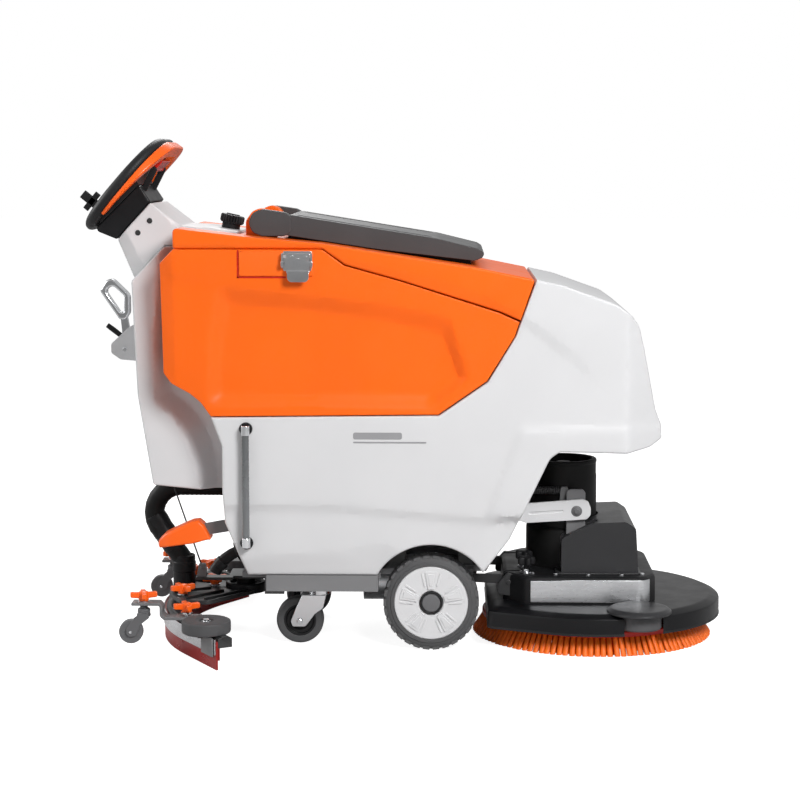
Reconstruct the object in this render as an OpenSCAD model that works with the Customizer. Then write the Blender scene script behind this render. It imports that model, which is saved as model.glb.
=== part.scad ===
// Walk-behind floor scrubber dryer with one disc brush, a curved rear squeegee
// and a ring handle. Millimetres. +X is the way the machine travels, +Z is up
// and the floor is z = 0. Each module works from the drive axle (x = 0 there),
// and placed() moves it so that the middle of the machine's length is x = 0.

/* [Body] */
// Half the width of the white and orange body
body_half_w = 245; // [225:1:260]
// Wall of the moulded tanks
wall = 6; // [4:0.5:8]
// Height of the body's underside
body_z = 162; // [160:1:166]
// Gap between neighbouring shells
seam = 2; // [1:0.5:3]

/* [Rear column and console] */
// Half the width of the rear column
column_half_w = 150; // [140:1:152]
// Half the width of the neck that carries the console
neck_half_w = 118; // [110:1:125]
// Angle of the ring handle above the floor
ring_tilt = 49; // [45:0.1:55]
// Length of the ring handle along its slope
ring_length = 247; // [230:1:270]
// Width of the ring handle
ring_width = 347; // [320:1:400]
// Radius of the ring handle's tube
ring_tube_r = 13.5; // [12:0.5:16]

/* [Wheels] */
// Radius of a drive wheel
wheel_r = 100; // [95:1:104]
// Width of a drive wheel
wheel_w = 50; // [40:1:56]
// Outer face of a drive wheel from the centre line
wheel_out_y = 205; // [200:1:215]
// Radius of a rear caster wheel
caster_r = 50; // [45:1:52]
// Distance of a caster's wheel centre behind its swivel axis
caster_trail = 42; // [38:1:44]

/* [Brush deck] */
// Distance of the brush centre ahead of the drive axle
brush_x = 347; // [340:1:350]
// Radius of the brush at the floor
brush_r = 255.5; // [245:0.5:256]
// Radius of the deck skirt
deck_r = 275; // [270:1:280]
// Radius of the brush motor
motor_r = 72; // [65:1:74]
// Length of the deck's lift arms between pivots
deck_arm_l = 138; // [130:1:145]

/* [Mounts] */
// Radius of the tie-down holes in the chassis plate
tie_hole_r = 6; // [4:0.5:6]

/* [Squeegee] */
// Half the width across the squeegee's tips
squeegee_half_w = 386; // [370:1:400]
// Radius of the squeegee's curved middle
squeegee_r = 480; // [460:1:500]
// Angle where the curve ends and the straight tips begin
squeegee_bend = 31; // [28:0.5:33]
// Foremost x of the squeegee's tips
squeegee_tip_x = -429; // [-440:1:-420]
// Radius of the suction hose
hose_r = 22; // [19:0.5:23]

/* [Hidden] */
$fn = 64;
clear = 0.05;            // radial running clearance of every pivot

// Control panel: middle and slope
panel_x = -653.6;
panel_z = 957.7;
panel_tilt = 50.2;
// Middle of the ring handle
ring_x = -646.9;
ring_z = 965.8;
rear_x = ring_x - (ring_length / 2 - ring_tube_r) * cos(ring_tilt) - ring_tube_r;
front_x = brush_x + deck_r;
middle_x = (front_x + rear_x) / 2;

// Side outlines, each counter-clockwise, as [x, z]
hood_line = [[213, 777], [171, 660], [115, 567], [16, 498]];
body_outline = concat(
    [[-380, body_z], [101, body_z], [162, 240], [207, 334], [243, 410], [263, 424],
     [401, 421], [450, 430], [476, 446], [476, 476], [462, 506], [436, 630], [424, 680],
     [407, 704], [375, 727], [268, 765]],
    hood_line,
    [[-452, 493], [-430, 433], [-430, 337], [-426, 273]]);
recovery_outline = [
    [-452, 495], [14, 500], [113, 569], [169, 660], [179, 689], [138, 709], [-65, 772], [-177, 803],
    [-222, 836], [-526, 836], [-555, 808], [-550, 583], [-534, 563], [-495, 542], [-473, 524]];
cover_outline = [
    [-526, 840], [-221, 840], [-174, 807], [-63, 776], [141, 713], [180, 693],
    [210, 777], [90, 801], [-221, 849], [-388, 864], [-526, 880]];
column_outline = [[-586, 338], [-441, 324], [-441, 838], [-558, 838], [-626, 767], [-616, 527]];
neck_outline = [[-626, 769], [-559, 839], [-405, 839], [-405, 868], [-470, 877], [-522, 880],
    [-588, 929], [-660, 851]];
console_outline = [[-710, 871], [-663, 852], [-590, 931], [-613, 966]];

// The lift arm and the link of the deck are equal and parallel
deck_arm_front = [307, 278];
deck_arm_back = [deck_arm_front[0] - deck_arm_l, 282];
deck_link_front = [175, 130];
deck_link_back = deck_link_front + deck_arm_back - deck_arm_front;
arm_y = 95;              // inner face of the deck's arms
arm_t = 8;

squeegee_pivot = [-338, 105];
caster_axis = [-236, 135];
pedal_pivot = [-411, 256];
cap_at = [-432, 877];
cap_tilt = 12;
yaw_x = -407;
port_x = -542;
port_top = 131;

// Squeegee curve: centre of the arc and its apex
bend_y = squeegee_r * sin(squeegee_bend);
squeegee_cx = squeegee_tip_x - (squeegee_half_w - bend_y) * tan(squeegee_bend)
    + squeegee_r * cos(squeegee_bend);

// Suction hose: two arcs joined by a straight, in the plane y = 0
hose_z = 314;
hose_bend_x = -545;
hose_bend_r = 60;
hose_foot_r = 40;
hose_drop = hose_z - hose_bend_r - (port_top + 4);
hose_shift = port_x - hose_bend_x - hose_foot_r;
hose_turn = atan2(hose_drop, -hose_shift)
    - acos((hose_bend_r + hose_foot_r) / norm([hose_drop, hose_shift]));
hose_run = norm([hose_shift + (hose_bend_r + hose_foot_r) * cos(hose_turn),
    -hose_drop + (hose_bend_r + hose_foot_r) * sin(hose_turn)]);

function unit(v) = v / norm(v);
function left_of(v) = [-v[1], v[0]];
function inset_corner(a, b, c, d) =
    let (n1 = left_of(unit(b - a)), n2 = left_of(unit(c - b)))
    b + (n1 + n2) * (d / (1 + n1 * n2));
// Outline moved inwards by d, with mitred corners
function inset(p, d) =
    let (n = len(p))
    [for (i = [0:n - 1]) inset_corner(p[(i + n - 1) % n], p[i], p[(i + 1) % n], d)];

module placed() { translate([-middle_x, 0, 0]) children(); }

// Side outline extruded from y0 to y1
module slab(outline, y0, y1) {
    translate([0, y1, 0]) rotate([90, 0, 0]) linear_extrude(y1 - y0) polygon(outline);
}
module slab_wide(outline, half_w) { slab(outline, -half_w, half_w); }
module box(low, high) { translate(low) cube(high - low); }
// Cylinder along Y at [x, z], from y0 to y1
module rod_y(at, r, y0, y1) {
    translate([at[0], y1, at[1]]) rotate([90, 0, 0]) cylinder(r = r, h = y1 - y0);
}
// Cylinder along Z
module post(x, y, z0, z1, r) { translate([x, y, z0]) cylinder(r = r, h = z1 - z0); }
module both_sides() { children(); mirror([0, 1, 0]) children(); }
// Frames of the control panel and the ring handle: x runs up the slope and z is the normal
module tilted() { translate([panel_x, 0, panel_z]) rotate([0, -panel_tilt, 0]) children(); }
module at_ring() { translate([ring_x, 0, ring_z]) rotate([0, -ring_tilt, 0]) children(); }
// Frame of the filler cap: z is the cap's axis
module at_cap() { translate([cap_at[0], 0, cap_at[1]]) rotate([0, cap_tilt, 0]) children(); }

// ---------------------------------------------------------------- body

module tank_arch(r) { rod_y([0, wheel_r], r, -260, 260); }

// Room for the brush motor and the deck's arms under the hood
module deck_room(grow) {
    box([110 - grow, -130 - grow, 100], [300, 130 + grow, 462 + grow]);
    box([180 - grow, -215 - grow, 300], [452 + grow, 215 + grow, 462 + grow]);
}
module battery_bay(grow) {
    box([-368 - grow, -188 - grow, 234 - grow], [-8 + grow, 188 + grow, 500]);
}
module column_notch() { box([-640, -column_half_w - seam, 300], [-439, column_half_w + seam, 900]); }

// Chamfered front corners of the hood
module hood_corner(grow) {
    both_sides() translate([401, -body_half_w, 0]) rotate([0, 0, 38])
        box([-40, -120, 380], [150, grow, 800]);
}
// Recess in the rear wall that holds the pedal's pivot
module pedal_room(grow) {
    box([-450, -206 - grow, 222 - grow], [-392 + grow, -138 + grow, 292 + grow]);
}
// Frame of the solution filter: z points out of the sloping rear wall
module filter_axis() {
    translate([-393.7, -100, 195]) rotate([0, -112.5, 0]) children();
}

module solution_tank() {
    placed() color("gainsboro") difference() {
        slab_wide(body_outline, body_half_w);
        difference() {
            slab_wide(inset(body_outline, wall), body_half_w - wall);
            tank_arch(128 + wall);
            deck_room(wall);
            battery_bay(wall);
            box([-640, -column_half_w - seam - wall, 300], [-433, column_half_w + seam + wall, 900]);
            hood_corner(wall);
            pedal_room(wall);
        }
        tank_arch(128);
        deck_room(0);
        battery_bay(0);
        column_notch();
        // Outlet to the solution filter
        filter_axis() translate([0, 0, -20]) cylinder(r = 10, h = 40);
        hood_corner(0);
        pedal_room(0);
        rod_y(pedal_pivot, 5 + clear, -216, -128);
    }
}

module recovery_tank() {
    placed() color("darkorange") difference() {
        slab_wide(recovery_outline, body_half_w);
        difference() {
            translate([0, 0, 0.01]) slab_wide(inset(recovery_outline, wall), body_half_w - wall);
            box([-640, -column_half_w - seam - wall, 300], [-433, column_half_w + seam + wall, 900]);
        }
        // Open top, inside the rim
        intersection() {
            box([-520, -body_half_w + wall, 600], [150, body_half_w - wall, 860]);
            slab_wide([[-520, 700], [110, 560], [140, 690], [134, 725], [-62, 790], [-170, 820],
                [-218, 850], [-520, 850]], body_half_w - wall);
            union() {
                box([-432, -body_half_w, 600], [160, body_half_w, 860]);
                both_sides() box([-520, -body_half_w, 600], [-431, -column_half_w - seam - wall, 860]);
            }
        }
        column_notch();
        cover_hinge_room();
    }
    placed() color("darkorange") difference() {
        cover_hinge_leaf([[-529, 820], [-523, 820], [-523, 839], [-529, 839]], -208, -190.2);
        both_sides() rod_y(cover_hinge, cover_pin_r + clear, -210, -188);
    }
}

// Two hinges join the cover to the tank at the rear of the seam
cover_hinge = [-526, 838];
cover_pin_r = 2;
module cover_hinge_room() { both_sides() rod_y(cover_hinge, 5, -209, -171); }
module cover_hinge_leaf(web, y0, y1) {
    both_sides() slab(web, y0, y1);
    both_sides() rod_y(cover_hinge, 4, y0, y1);
}

cap_bay_x = -386;
cap_bay_half_w = 34;
module cover_body() {
    difference() {
        slab_wide(cover_outline, body_half_w);
        difference() {
            slab_wide([[-520, 830], [-221, 830], [-176, 798], [-66, 766], [130, 706], [168, 688],
                [196, 770], [88, 794], [-222, 842], [-389, 857], [-520, 871]], body_half_w - wall);
            box([-640, -column_half_w - seam - wall, 700], [-389, column_half_w + seam + wall, 900]);
            box([-640, -cap_bay_half_w - wall, 700], [cap_bay_x + wall, cap_bay_half_w + wall, 900]);
        }
        box([-640, -column_half_w - seam, 700], [-396, column_half_w + seam, 900]);
        // Bay that lets the rising cover pass the filler cap
        box([-400, -cap_bay_half_w, 700], [cap_bay_x, cap_bay_half_w, 900]);
    }
}

module recovery_cover() {
    placed() color("darkorange") {
        difference() {
            union() {
                cover_body();
                // Knuckles that carry the lid's pins
                both_sides() slab([[-383, 856], [-325, 848], [-325, 880], [-383, 880]], -146, -112);
                both_sides() rod_y([-354, 886], 32, -146, -112);
            }
            both_sides() rod_y([-350, 889], 5 + clear, -147, -120);
            // Mouth under the lid
            box([-290, -140, 690], [70, 140, 900]);
            cover_hinge_room();
        }
        cover_hinge_leaf([[-529, 837], [-523, 837], [-523, 850], [-529, 850]], -189.8, -172);
        both_sides() rod_y(cover_hinge, cover_pin_r, -207.5, -180);
    }
}

module lid() {
    placed() color("dimgray") {
        difference() {
            union() {
                slab([[-306, 864], [-115, 835], [87, 811], [104, 817], [109, 829], [95, 836],
                    [10, 857], [-296, 905]], -172, 172);
                both_sides() rod_y([-350, 889], 28, -172, -148);
                both_sides() slab([[-350, 864], [-306, 864], [-290, 905], [-350, 917]], -172, -148);
            }
            // Hollow underside
            slab([[-296, 860], [-115, 831], [85, 806], [92, 818], [8, 846], [-290, 893]], -160, 160);
            // Recessed slots along the top
            both_sides() translate([-282, -140, 908]) rotate([0, 8.8, 0]) box([0, 0, -12], [292, 34, 20]);
        }
        both_sides() rod_y([-350, 889], 5, -149, -121);
    }
}

module lid_gasket() {
    placed() color("black") difference() {
        slab([[-298, 856.2], [-221, 849.2], [-115, 832.9], [80, 802.8], [80, 811.6], [-115, 834.8],
            [-221, 850.9], [-298, 862.4]], -150, 150);
        box([-288, -140, 700], [68, 140, 900]);
    }
}

// Height of the latch pins
latch_z = 823;
module latch_plates() {
    placed() color("silver") both_sides() {
        difference() {
            union() {
                box([-303, -body_half_w - 3, 792], [-241, -body_half_w - 0.2, 832]);
                for (x = [-303, -245]) box([x, -body_half_w - 14, 814], [x + 4, -body_half_w - 1, 832]);
            }
            translate([-310, -body_half_w - 9, latch_z]) rotate([0, 90, 0]) cylinder(r = 3 + clear, h = 80);
        }
    }
}
module latch_lever() {
    color("silver") {
        translate([-302.5, -body_half_w - 9, latch_z]) rotate([0, 90, 0]) cylinder(r = 3, h = 61);
        box([-297, -body_half_w - 15, 778], [-247, -body_half_w - 10, latch_z + 4]);
        box([-284, -body_half_w - 17, 770], [-260, -body_half_w - 12, 780]);
    }
}
module latch_right() { placed() latch_lever(); }
module latch_left() { placed() mirror([0, 1, 0]) latch_lever(); }

module sight_gauge() {
    placed() color("darkslategray") {
        post(-380, -body_half_w - 10, 226, 478, 8);
        for (z = [233, 470]) {
            rod_y([-380, z], 13, -body_half_w - 3, -body_half_w - 0.1);
            rod_y([-380, z], 7, -body_half_w - 10, -body_half_w - 0.1);
        }
    }
}

module filler_cap() {
    placed() at_cap() color("black") {
        post(0, 0, 5.5, 24, 24);
        for (a = [0:30:330]) rotate(a) translate([23.5, 0, 6.5]) cylinder(r = 2.5, h = 16);
        post(0, 0, -10, 6, 19.5);
    }
}

// ---------------------------------------------------------------- chassis

module chassis_frame() {
    placed() color("dimgray") {
        difference() {
            union() {
                box([-395, -190, 150], [88, 190, body_z - 0.2]);
                both_sides() box([-342, -225, 128], [-110, -180, body_z - 0.2]);
                // Bosses for the caster stems
                both_sides() post(caster_axis[0], caster_axis[1], 122, 151, 30);
                // Ears of the squeegee pivot
                both_sides() slab([[-360, 88], [-318, 88], [-318, 151], [-360, 151]], 58, 66);
                // Ears of the deck's lift arm
                both_sides() slab([[60, 150], [116, 150], [130, 176], [142, 204], [156, 236],
                    [176, 268], [183, 286], [174, 296], [156, 290], [113, 196],
                    [113, body_z - 0.2], [60, body_z - 0.2]], 106, 113);
                // Ears of the deck's lower link
                both_sides() slab([[23, 120], [52, 120], [60, 151], [15, 151]], 106, 113);
            }
            both_sides() post(caster_axis[0], caster_axis[1], 120, 170, 8 + clear);
            // Slots that the lower link swings through
            both_sides() box([30, 92, 140], [90, 105.9, 170]);
            rod_y(deck_arm_back, 8 + clear, -120, 120);
            rod_y(deck_link_back, 6 + clear, -120, 120);
            rod_y(squeegee_pivot, 6 + clear, -70, 70);
            // Room for the transaxle and the drive wheels
            box([-58, -74, 140], [58, 74, 170]);
            both_sides() box([-106, -240, 140], [120, -150, 170]);
            // Holes for tying the machine down
            both_sides() post(-387, 170, 140, 170, tie_hole_r);
        }
    }
}

module transaxle() {
    placed() color("gray") {
        rod_y([0, wheel_r], 10, -wheel_out_y + 8, wheel_out_y - 8);
        rod_y([0, wheel_r], 24, -145, 145);
        rod_y([0, wheel_r], 55, -70, 70);
        translate([0, 40, wheel_r]) rotate([0, -90, 0]) cylinder(r = 44, h = 150);
        both_sides() box([-20, 90, 118], [20, 104, 149.8]);
    }
}

module battery_pack() {
    placed() color("darkslategray") both_sides() difference() {
        box([-354, 4, 238], [-22, 178, 458]);
        for (x = [-320, -60]) post(x, 90, 440, 470, 9);
    }
}

module drive_rim() {
    color("white") difference() {
        union() {
            rotate([90, 0, 0]) cylinder(r = 78, h = 6);
            rotate([90, 0, 0]) translate([0, 0, -42]) difference() {
                cylinder(r = 78, h = 44);
                translate([0, 0, -1]) cylinder(r = 70, h = 46);
            }
            rotate([90, 0, 0]) translate([0, 0, -42]) cylinder(r = 26, h = 44);
        }
        rotate([90, 0, 0]) translate([0, 0, -50]) cylinder(r = 10 + clear, h = 51);
    }
}
module drive_tyre() {
    tread = 30;
    color("dimgray") rotate([90, 0, 0]) translate([0, 0, -44]) difference() {
        union() {
            cylinder(r = wheel_r - 3, h = wheel_w);
            translate([0, 0, 4]) cylinder(r = wheel_r, h = wheel_w - 8);
        }
        translate([0, 0, -1]) cylinder(r = 78.2, h = wheel_w + 2);
        for (i = [0:tread - 1]) rotate(i * 360 / tread)
            translate([wheel_r - 2.5, -2, wheel_w - 12]) cube([6, 4, 20]);
    }
}
module at_right_wheel() { translate([0, -wheel_out_y + 6, wheel_r]) children(); }
module drive_rim_right() { placed() at_right_wheel() drive_rim(); }
module drive_tyre_right() { placed() at_right_wheel() drive_tyre(); }
module drive_rim_left() { placed() mirror([0, 1, 0]) at_right_wheel() drive_rim(); }
module drive_tyre_left() { placed() mirror([0, 1, 0]) at_right_wheel() drive_tyre(); }

// Swivel fork: stem, top plate and two legs that hold the wheel behind the stem
module caster_fork() {
    color("silver") translate([caster_axis[0], -caster_axis[1], 0]) {
        post(0, 0, 108, 160, 8);
        post(0, 0, 100, 121.5, 24);
        difference() {
            union() {
                both_sides() slab([[-24, 104], [-54, 40], [-50, 34], [-36, 36], [8, 72], [20, 104]], 20, 24);
                box([-24, -24, 102], [20, 24, 106]);
            }
            rod_y([-caster_trail, caster_r], 5 + clear, -30, 30);
        }
    }
}
module caster_wheel() {
    color("gray") translate([caster_axis[0] - caster_trail, -caster_axis[1], caster_r]) {
        rotate([90, 0, 0]) translate([0, 0, -15]) cylinder(r = caster_r, h = 30);
        rotate([90, 0, 0]) translate([0, 0, -26]) cylinder(r = 5, h = 52);
        rotate([90, 0, 0]) translate([0, 0, -18]) cylinder(r = 14, h = 36);
    }
}
module caster_fork_right() { placed() caster_fork(); }
module caster_fork_left() { placed() mirror([0, 1, 0]) caster_fork(); }
module caster_wheel_right() { placed() caster_wheel(); }
module caster_wheel_left() { placed() mirror([0, 1, 0]) caster_wheel(); }

// ---------------------------------------------------------------- column

module rear_column() {
    placed() color("gainsboro") difference() {
        slab_wide(column_outline, column_half_w);
        slab([[-581, 330], [-446, 318], [-446, 833], [-556, 833], [-621, 765], [-611, 527]],
            -column_half_w + 5, column_half_w - 5);
        // Passage up into the neck
        box([-550, -90, 820], [-450, 90, 850]);
    }
}

module console_neck() {
    placed() color("gainsboro") difference() {
        slab_wide(neck_outline, neck_half_w);
        slab([[-616, 776], [-556, 838], [-411, 838], [-411, 862], [-471, 871], [-524, 874],
            [-589, 922], [-648, 849]], -neck_half_w + 5, neck_half_w - 5);
        box([-552, -92, 830], [-448, 92, 845]);
        at_cap() post(0, 0, -25, 20, 20);
        both_sides() for (at = [[-590, 891], [-615, 866]]) rod_y(at, 7, -neck_half_w - 1, -neck_half_w + 3);
        both_sides() for (at = [[-590, 891], [-615, 866]]) rod_y(at, 3, -neck_half_w - 1, -neck_half_w + 8);
    }
}
module body_screws() {
    placed() color("black") both_sides() for (at = [[-590, 891], [-615, 866]]) {
        rod_y(at, 6, -neck_half_w, -neck_half_w + 3);
        rod_y(at, 2.9, -neck_half_w + 2, -neck_half_w + 14);
    }
}
console_half_w = 105;
module console_housing() {
    placed() color("black") difference() {
        union() {
            slab_wide(console_outline, console_half_w);
            // Ears of the drive paddle
            tilted() both_sides() slab([[24, -44], [78, -32], [80, -18], [63, -21], [27, -30]], 64, 70);
        }
        slab_wide([[-700, 872], [-664, 858], [-597, 930], [-615, 957]], console_half_w - 5);
        tilted() rod_y([72, -25], 4.5 + clear, -72, 72);
    }
}
// The panel fills the top of the housing inside the ring
button_s = 20;           // place of the push buttons up the slope
module control_panel() {
    placed() color("darkslategray") difference() {
        tilted() difference() {
            slab_wide([[-84, -13.9], [32, -25.5], [41, 4], [-84, 4]], console_half_w);
            for (y = [-18, 22]) translate([button_s, y, -12]) cylinder(r = 10 + clear, h = 30);
            translate([-62, -72, -12]) cylinder(r = 8 + clear, h = 30);
            translate([-10, 70, -12]) cylinder(r = 10 + clear, h = 30);
            // Sunken display
            box([-40, -50, 1], [4, 34, 10]);
        }
        // Lower corners give way to the ring
        at_ring() ring_path(ring_half_l, ring_half_w, ring_corner_r) circle(r = ring_tube_r + seam);
    }
}
// Rounded rectangle swept by the child profile, in the tilted frame
module ring_path(half_l, half_w, r) {
    for (q = [[1, 1, 0], [-1, 1, 90], [-1, -1, 180], [1, -1, 270]])
        translate([q[0] * (half_l - r), q[1] * (half_w - r), 0]) rotate(q[2])
            rotate_extrude(angle = 90) translate([r, 0]) children();
    for (side = [-1, 1]) {
        translate([side * half_l, -(half_w - r), 0]) rotate([-90, 0, 0])
            linear_extrude(2 * (half_w - r)) mirror([0, 1]) scale([side, 1]) children();
        translate([-(half_l - r), side * half_w, 0]) rotate([90, 0, 90])
            linear_extrude(2 * (half_l - r)) scale([side, 1]) children();
    }
}
ring_corner_r = 100;
ring_half_l = ring_length / 2 - ring_tube_r;
ring_half_w = ring_width / 2 - ring_tube_r;
module handle_ring() {
    placed() at_ring() color("black") {
        ring_path(ring_half_l, ring_half_w, ring_corner_r) circle(r = ring_tube_r);
        // Spokes from the ring to the console
        both_sides() for (at = [-40, 16]) translate([at, -ring_half_w, -5]) rotate([-90, 0, 0])
            cylinder(r = 7, h = ring_half_w - console_half_w - 0.2);
    }
}
module handle_insert() {
    placed() at_ring() color("orangered") difference() {
        translate([0, 0, -26]) ring_path(ring_half_l, ring_half_w, ring_corner_r)
            polygon([[-8, 0], [14, 0], [12, 12.3], [-8, 12.3]]);
        box([-200, -200, -30], [46, 200, 30]);
    }
}

module drive_paddle() {
    placed() tilted() color("red") {
        box([52, -60, -29], [98, 60, -21]);
        rod_y([72, -25], 4.5, -69, 69);
    }
}
module start_key() {
    placed() tilted() translate([-62, -72, 0]) color("black") {
        translate([0, 0, -11]) cylinder(r = 8, h = 20);
        translate([0, 0, 4.2]) cylinder(r = 14, h = 12);
        box([-22, -4, 26], [22, 4, 38]);
        box([-9.5, -4, 15], [9.5, 4, 57]);
    }
}
module emergency_stop() {
    placed() tilted() translate([-10, 70, 0]) color("red") {
        translate([0, 0, -5]) cylinder(r = 10, h = 20);
        translate([0, 0, 12]) cylinder(r = 17, h = 9);
    }
}
module push_button(y) {
    placed() tilted() translate([button_s, y, -9]) color("gray") cylinder(r = 10, h = 17);
}
module brush_button() { push_button(-18); }
module vacuum_button() { push_button(22); }

module vacuum_motor() {
    placed() color("silver") {
        post(-530, 0, 690, 780, 62);
        post(-530, 0, 640, 691, 48);
    }
}

// Hand lever that lifts the squeegee, on a bracket behind the column
lever_pivot = [-662, 612];
module lever_bracket() {
    placed() color("gray") difference() {
        union() {
            slab([[-626.2, 590], [-626.2, 640], [-655, 640], [-674, 622], [-674, 600]], 12, 17);
            slab([[-626.2, 590], [-626.2, 640], [-655, 640], [-674, 622], [-674, 600]], -17, -12);
        }
        rod_y(lever_pivot, 5 + clear, -20, 20);
    }
}
module lift_lever() {
    placed() color("silver") {
        rod_y(lever_pivot, 5, -19, 19);
        rod_y(lever_pivot, 11, -9, 9);
        slab([[-672, 606], [-656, 606], [-652, 650], [-660, 700], [-676, 700], [-670, 650]], -8, 8);
        slab([[-714, 737], [-680, 692], [-668, 694], [-653, 730], [-684, 762]], -13, 13);
    }
}

// ---------------------------------------------------------------- hose and squeegee

module solution_filter() {
    placed() color("black") {
        filter_axis() translate([0, 0, 0.3]) cylinder(r = 24, h = 22);
        filter_axis() translate([0, 0, 14]) rotate([0, -10, 0]) cylinder(r = 12, h = 50);
    }
}

module hose_bend(r, a0, a1) {
    rotate([90, 0, 0]) rotate([0, 0, a0]) rotate_extrude(angle = a1 - a0)
        translate([r, 0]) circle(r = hose_r);
}
// Straight lengths are cuffs, a little thicker than the bends they grip
module suction_hose() {
    cuff_r = hose_r + 0.8;
    grip = 3;
    wall_x = -449;
    bend_z = hose_z - hose_bend_r;
    placed() color("black") {
        translate([wall_x, 0, hose_z]) rotate([0, -90, 0])
            cylinder(r = cuff_r, h = wall_x - hose_bend_x + grip);
        translate([hose_bend_x, 0, bend_z]) hose_bend(hose_bend_r, 90, 180 + hose_turn);
        translate([hose_bend_x - hose_bend_r * cos(hose_turn), 0, bend_z - hose_bend_r * sin(hose_turn)])
            rotate([0, 180 - hose_turn, 0]) translate([0, 0, -grip])
                cylinder(r = cuff_r, h = hose_run + 2 * grip);
        translate([port_x - hose_foot_r, 0, port_top + 4]) hose_bend(hose_foot_r, 0, hose_turn);
        post(port_x, 0, port_top + 0.2, port_top + 4 + grip, cuff_r);
    }
}

// Ends of the lift cable as [x, z]
cable_low = [-497, 142];
cable_high = [-560, 330];
module lift_cable() {
    run = cable_high - cable_low;
    placed() color("black") translate([cable_low[0], -45, cable_low[1]])
        rotate([0, atan2(run[0], run[1]), 0]) cylinder(r = 2, h = norm(run) + 8);
}

// Arm that swings up about the chassis pin and carries the yaw pin
module squeegee_arm() {
    placed() color("black") {
        rod_y(squeegee_pivot, 6, -68, 68);
        rod_y(squeegee_pivot, 12, -56, 56);
        box([-440, -40, 116], [-330, 40, 122]);
        post(yaw_x, 0, 76, 118, 8);
        post(yaw_x, 0, 112.3, 118, 30);
        box([-510, -58, 116], [-430, -28, 122]);
        box([-506, -50, 120], [-488, -40, 140]);
    }
}

// Rear edge of the squeegee moved forward by d, from the left tip to the right
function squeegee_edge(d) = concat(
    [tip_point(1, d)],
    [for (a = [squeegee_bend:-squeegee_bend / 8:-squeegee_bend])
        [squeegee_cx - (squeegee_r - d) * cos(a), (squeegee_r - d) * sin(a)]],
    [tip_point(-1, d)]);
function tip_point(side, d) = [
    squeegee_tip_x + d * cos(squeegee_bend),
    side * (squeegee_half_w - 0.001) - side * d * sin(squeegee_bend)];
function reversed(p) = [for (i = [len(p) - 1:-1:0]) p[i]];
module squeegee_band(d0, d1, z0, z1) {
    translate([0, 0, z0]) linear_extrude(z1 - z0)
        polygon(concat(squeegee_edge(d0), reversed(squeegee_edge(d1))));
}

guide_y = 228;
guide_stem_x = -597;
bumper_x = -455;
bumper_y = 331;
module squeegee_frame() {
    placed() color("black") difference() {
        union() {
            squeegee_band(4.2, 36, 44, 64);
            intersection() {
                squeegee_band(8, 32, 60, 84);
                box([-600, -150, 50], [-400, 150, 90]);
            }
            // Carrier plate and yaw hub
            translate([0, 0, 82]) linear_extrude(14) polygon([[-566, -70], [-530, -150], [-470, -150],
                [-385, -40], [-385, 40], [-470, 150], [-530, 150], [-566, 70]]);
            post(yaw_x, 0, 82, 112, 40);
            // Suction port
            post(port_x, 0, 82, port_top, 24);
            both_sides() {
                // Stepped bracket of the guide caster
                box([-620, -guide_y - 18, 100], [-556, -guide_y + 18, 106]);
                box([-562, -guide_y - 18, 70], [-556, -guide_y + 18, 106]);
                box([-562, -guide_y - 18, 70], [-478, -guide_y + 18, 84]);
                box([-514, -guide_y - 12, 60], [-500, -guide_y + 12, 72]);
                // Pin of the bumper wheel
                post(bumper_x, -bumper_y, 60, 93, 6);
            }
        }
        post(yaw_x, 0, 70, 120, 8 + clear);
        post(port_x, 0, 40, 140, 19);
        both_sides() post(guide_stem_x, -guide_y, 90, 110, 5 + clear);
    }
}
module squeegee_straps() {
    placed() color("silver") {
        squeegee_band(-2.2, -0.2, 30, 62);
        squeegee_band(40.4, 42.4, 30, 58);
    }
}
module squeegee_blades() {
    placed() color("firebrick") {
        squeegee_band(0, 4, 0, 58);
        squeegee_band(36.2, 40.2, 0, 58);
    }
}
// Wing knob: hub and three wings
module wing_knob(x, y, z) {
    color("orangered") translate([x, y, z]) {
        cylinder(r = 10, h = 20);
        for (a = [90, 210, 330]) rotate(a) box([6, -4.5, 6], [27, 4.5, 18]);
    }
}
module squeegee_knobs() {
    placed() {
        for (side = [-1, 1]) {
            wing_knob(-596, side * guide_y, 108);
            wing_knob(-508, side * guide_y, 84.2);
            wing_knob(-532, side * 100, 96.2);
        }
        wing_knob(-475, 0, 96.2);
    }
}
module bumper_wheel() {
    color("dimgray") translate([bumper_x, -bumper_y, 66]) difference() {
        cylinder(r = 50, h = 25);
        translate([0, 0, -1]) cylinder(r = 6 + clear, h = 30);
    }
}
module bumper_wheel_right() { placed() bumper_wheel(); }
module bumper_wheel_left() { placed() mirror([0, 1, 0]) bumper_wheel(); }
module guide_fork() {
    color("gray") {
        post(guide_stem_x, -guide_y, 80, 107.5, 5);
        post(guide_stem_x, -guide_y, 78, 90, 13);
        difference() {
            both_sides_of(-guide_y) slab([[-604, 82], [-588, 82], [-592, 66], [-616, 34], [-630, 36],
                [-630, 46], [-618, 72]], -guide_y + 11, -guide_y + 14);
            rod_y([-624, 43], 3 + clear, -260, -200);
        }
        box([-614, -guide_y - 14, 76], [-588, -guide_y + 14, 81]);
    }
}
module both_sides_of(y) {
    children();
    translate([0, y, 0]) mirror([0, 1, 0]) translate([0, -y, 0]) children();
}
module guide_wheel() {
    color("gray") translate([-624, -guide_y, 43]) rotate([90, 0, 0]) {
        translate([0, 0, -9]) cylinder(r = 25, h = 18);
        translate([0, 0, -15]) cylinder(r = 3, h = 30);
    }
}
module guide_fork_right() { placed() guide_fork(); }
module guide_fork_left() { placed() mirror([0, 1, 0]) guide_fork(); }
module guide_wheel_right() { placed() guide_wheel(); }
module guide_wheel_left() { placed() mirror([0, 1, 0]) guide_wheel(); }

// ---------------------------------------------------------------- deck

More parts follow.
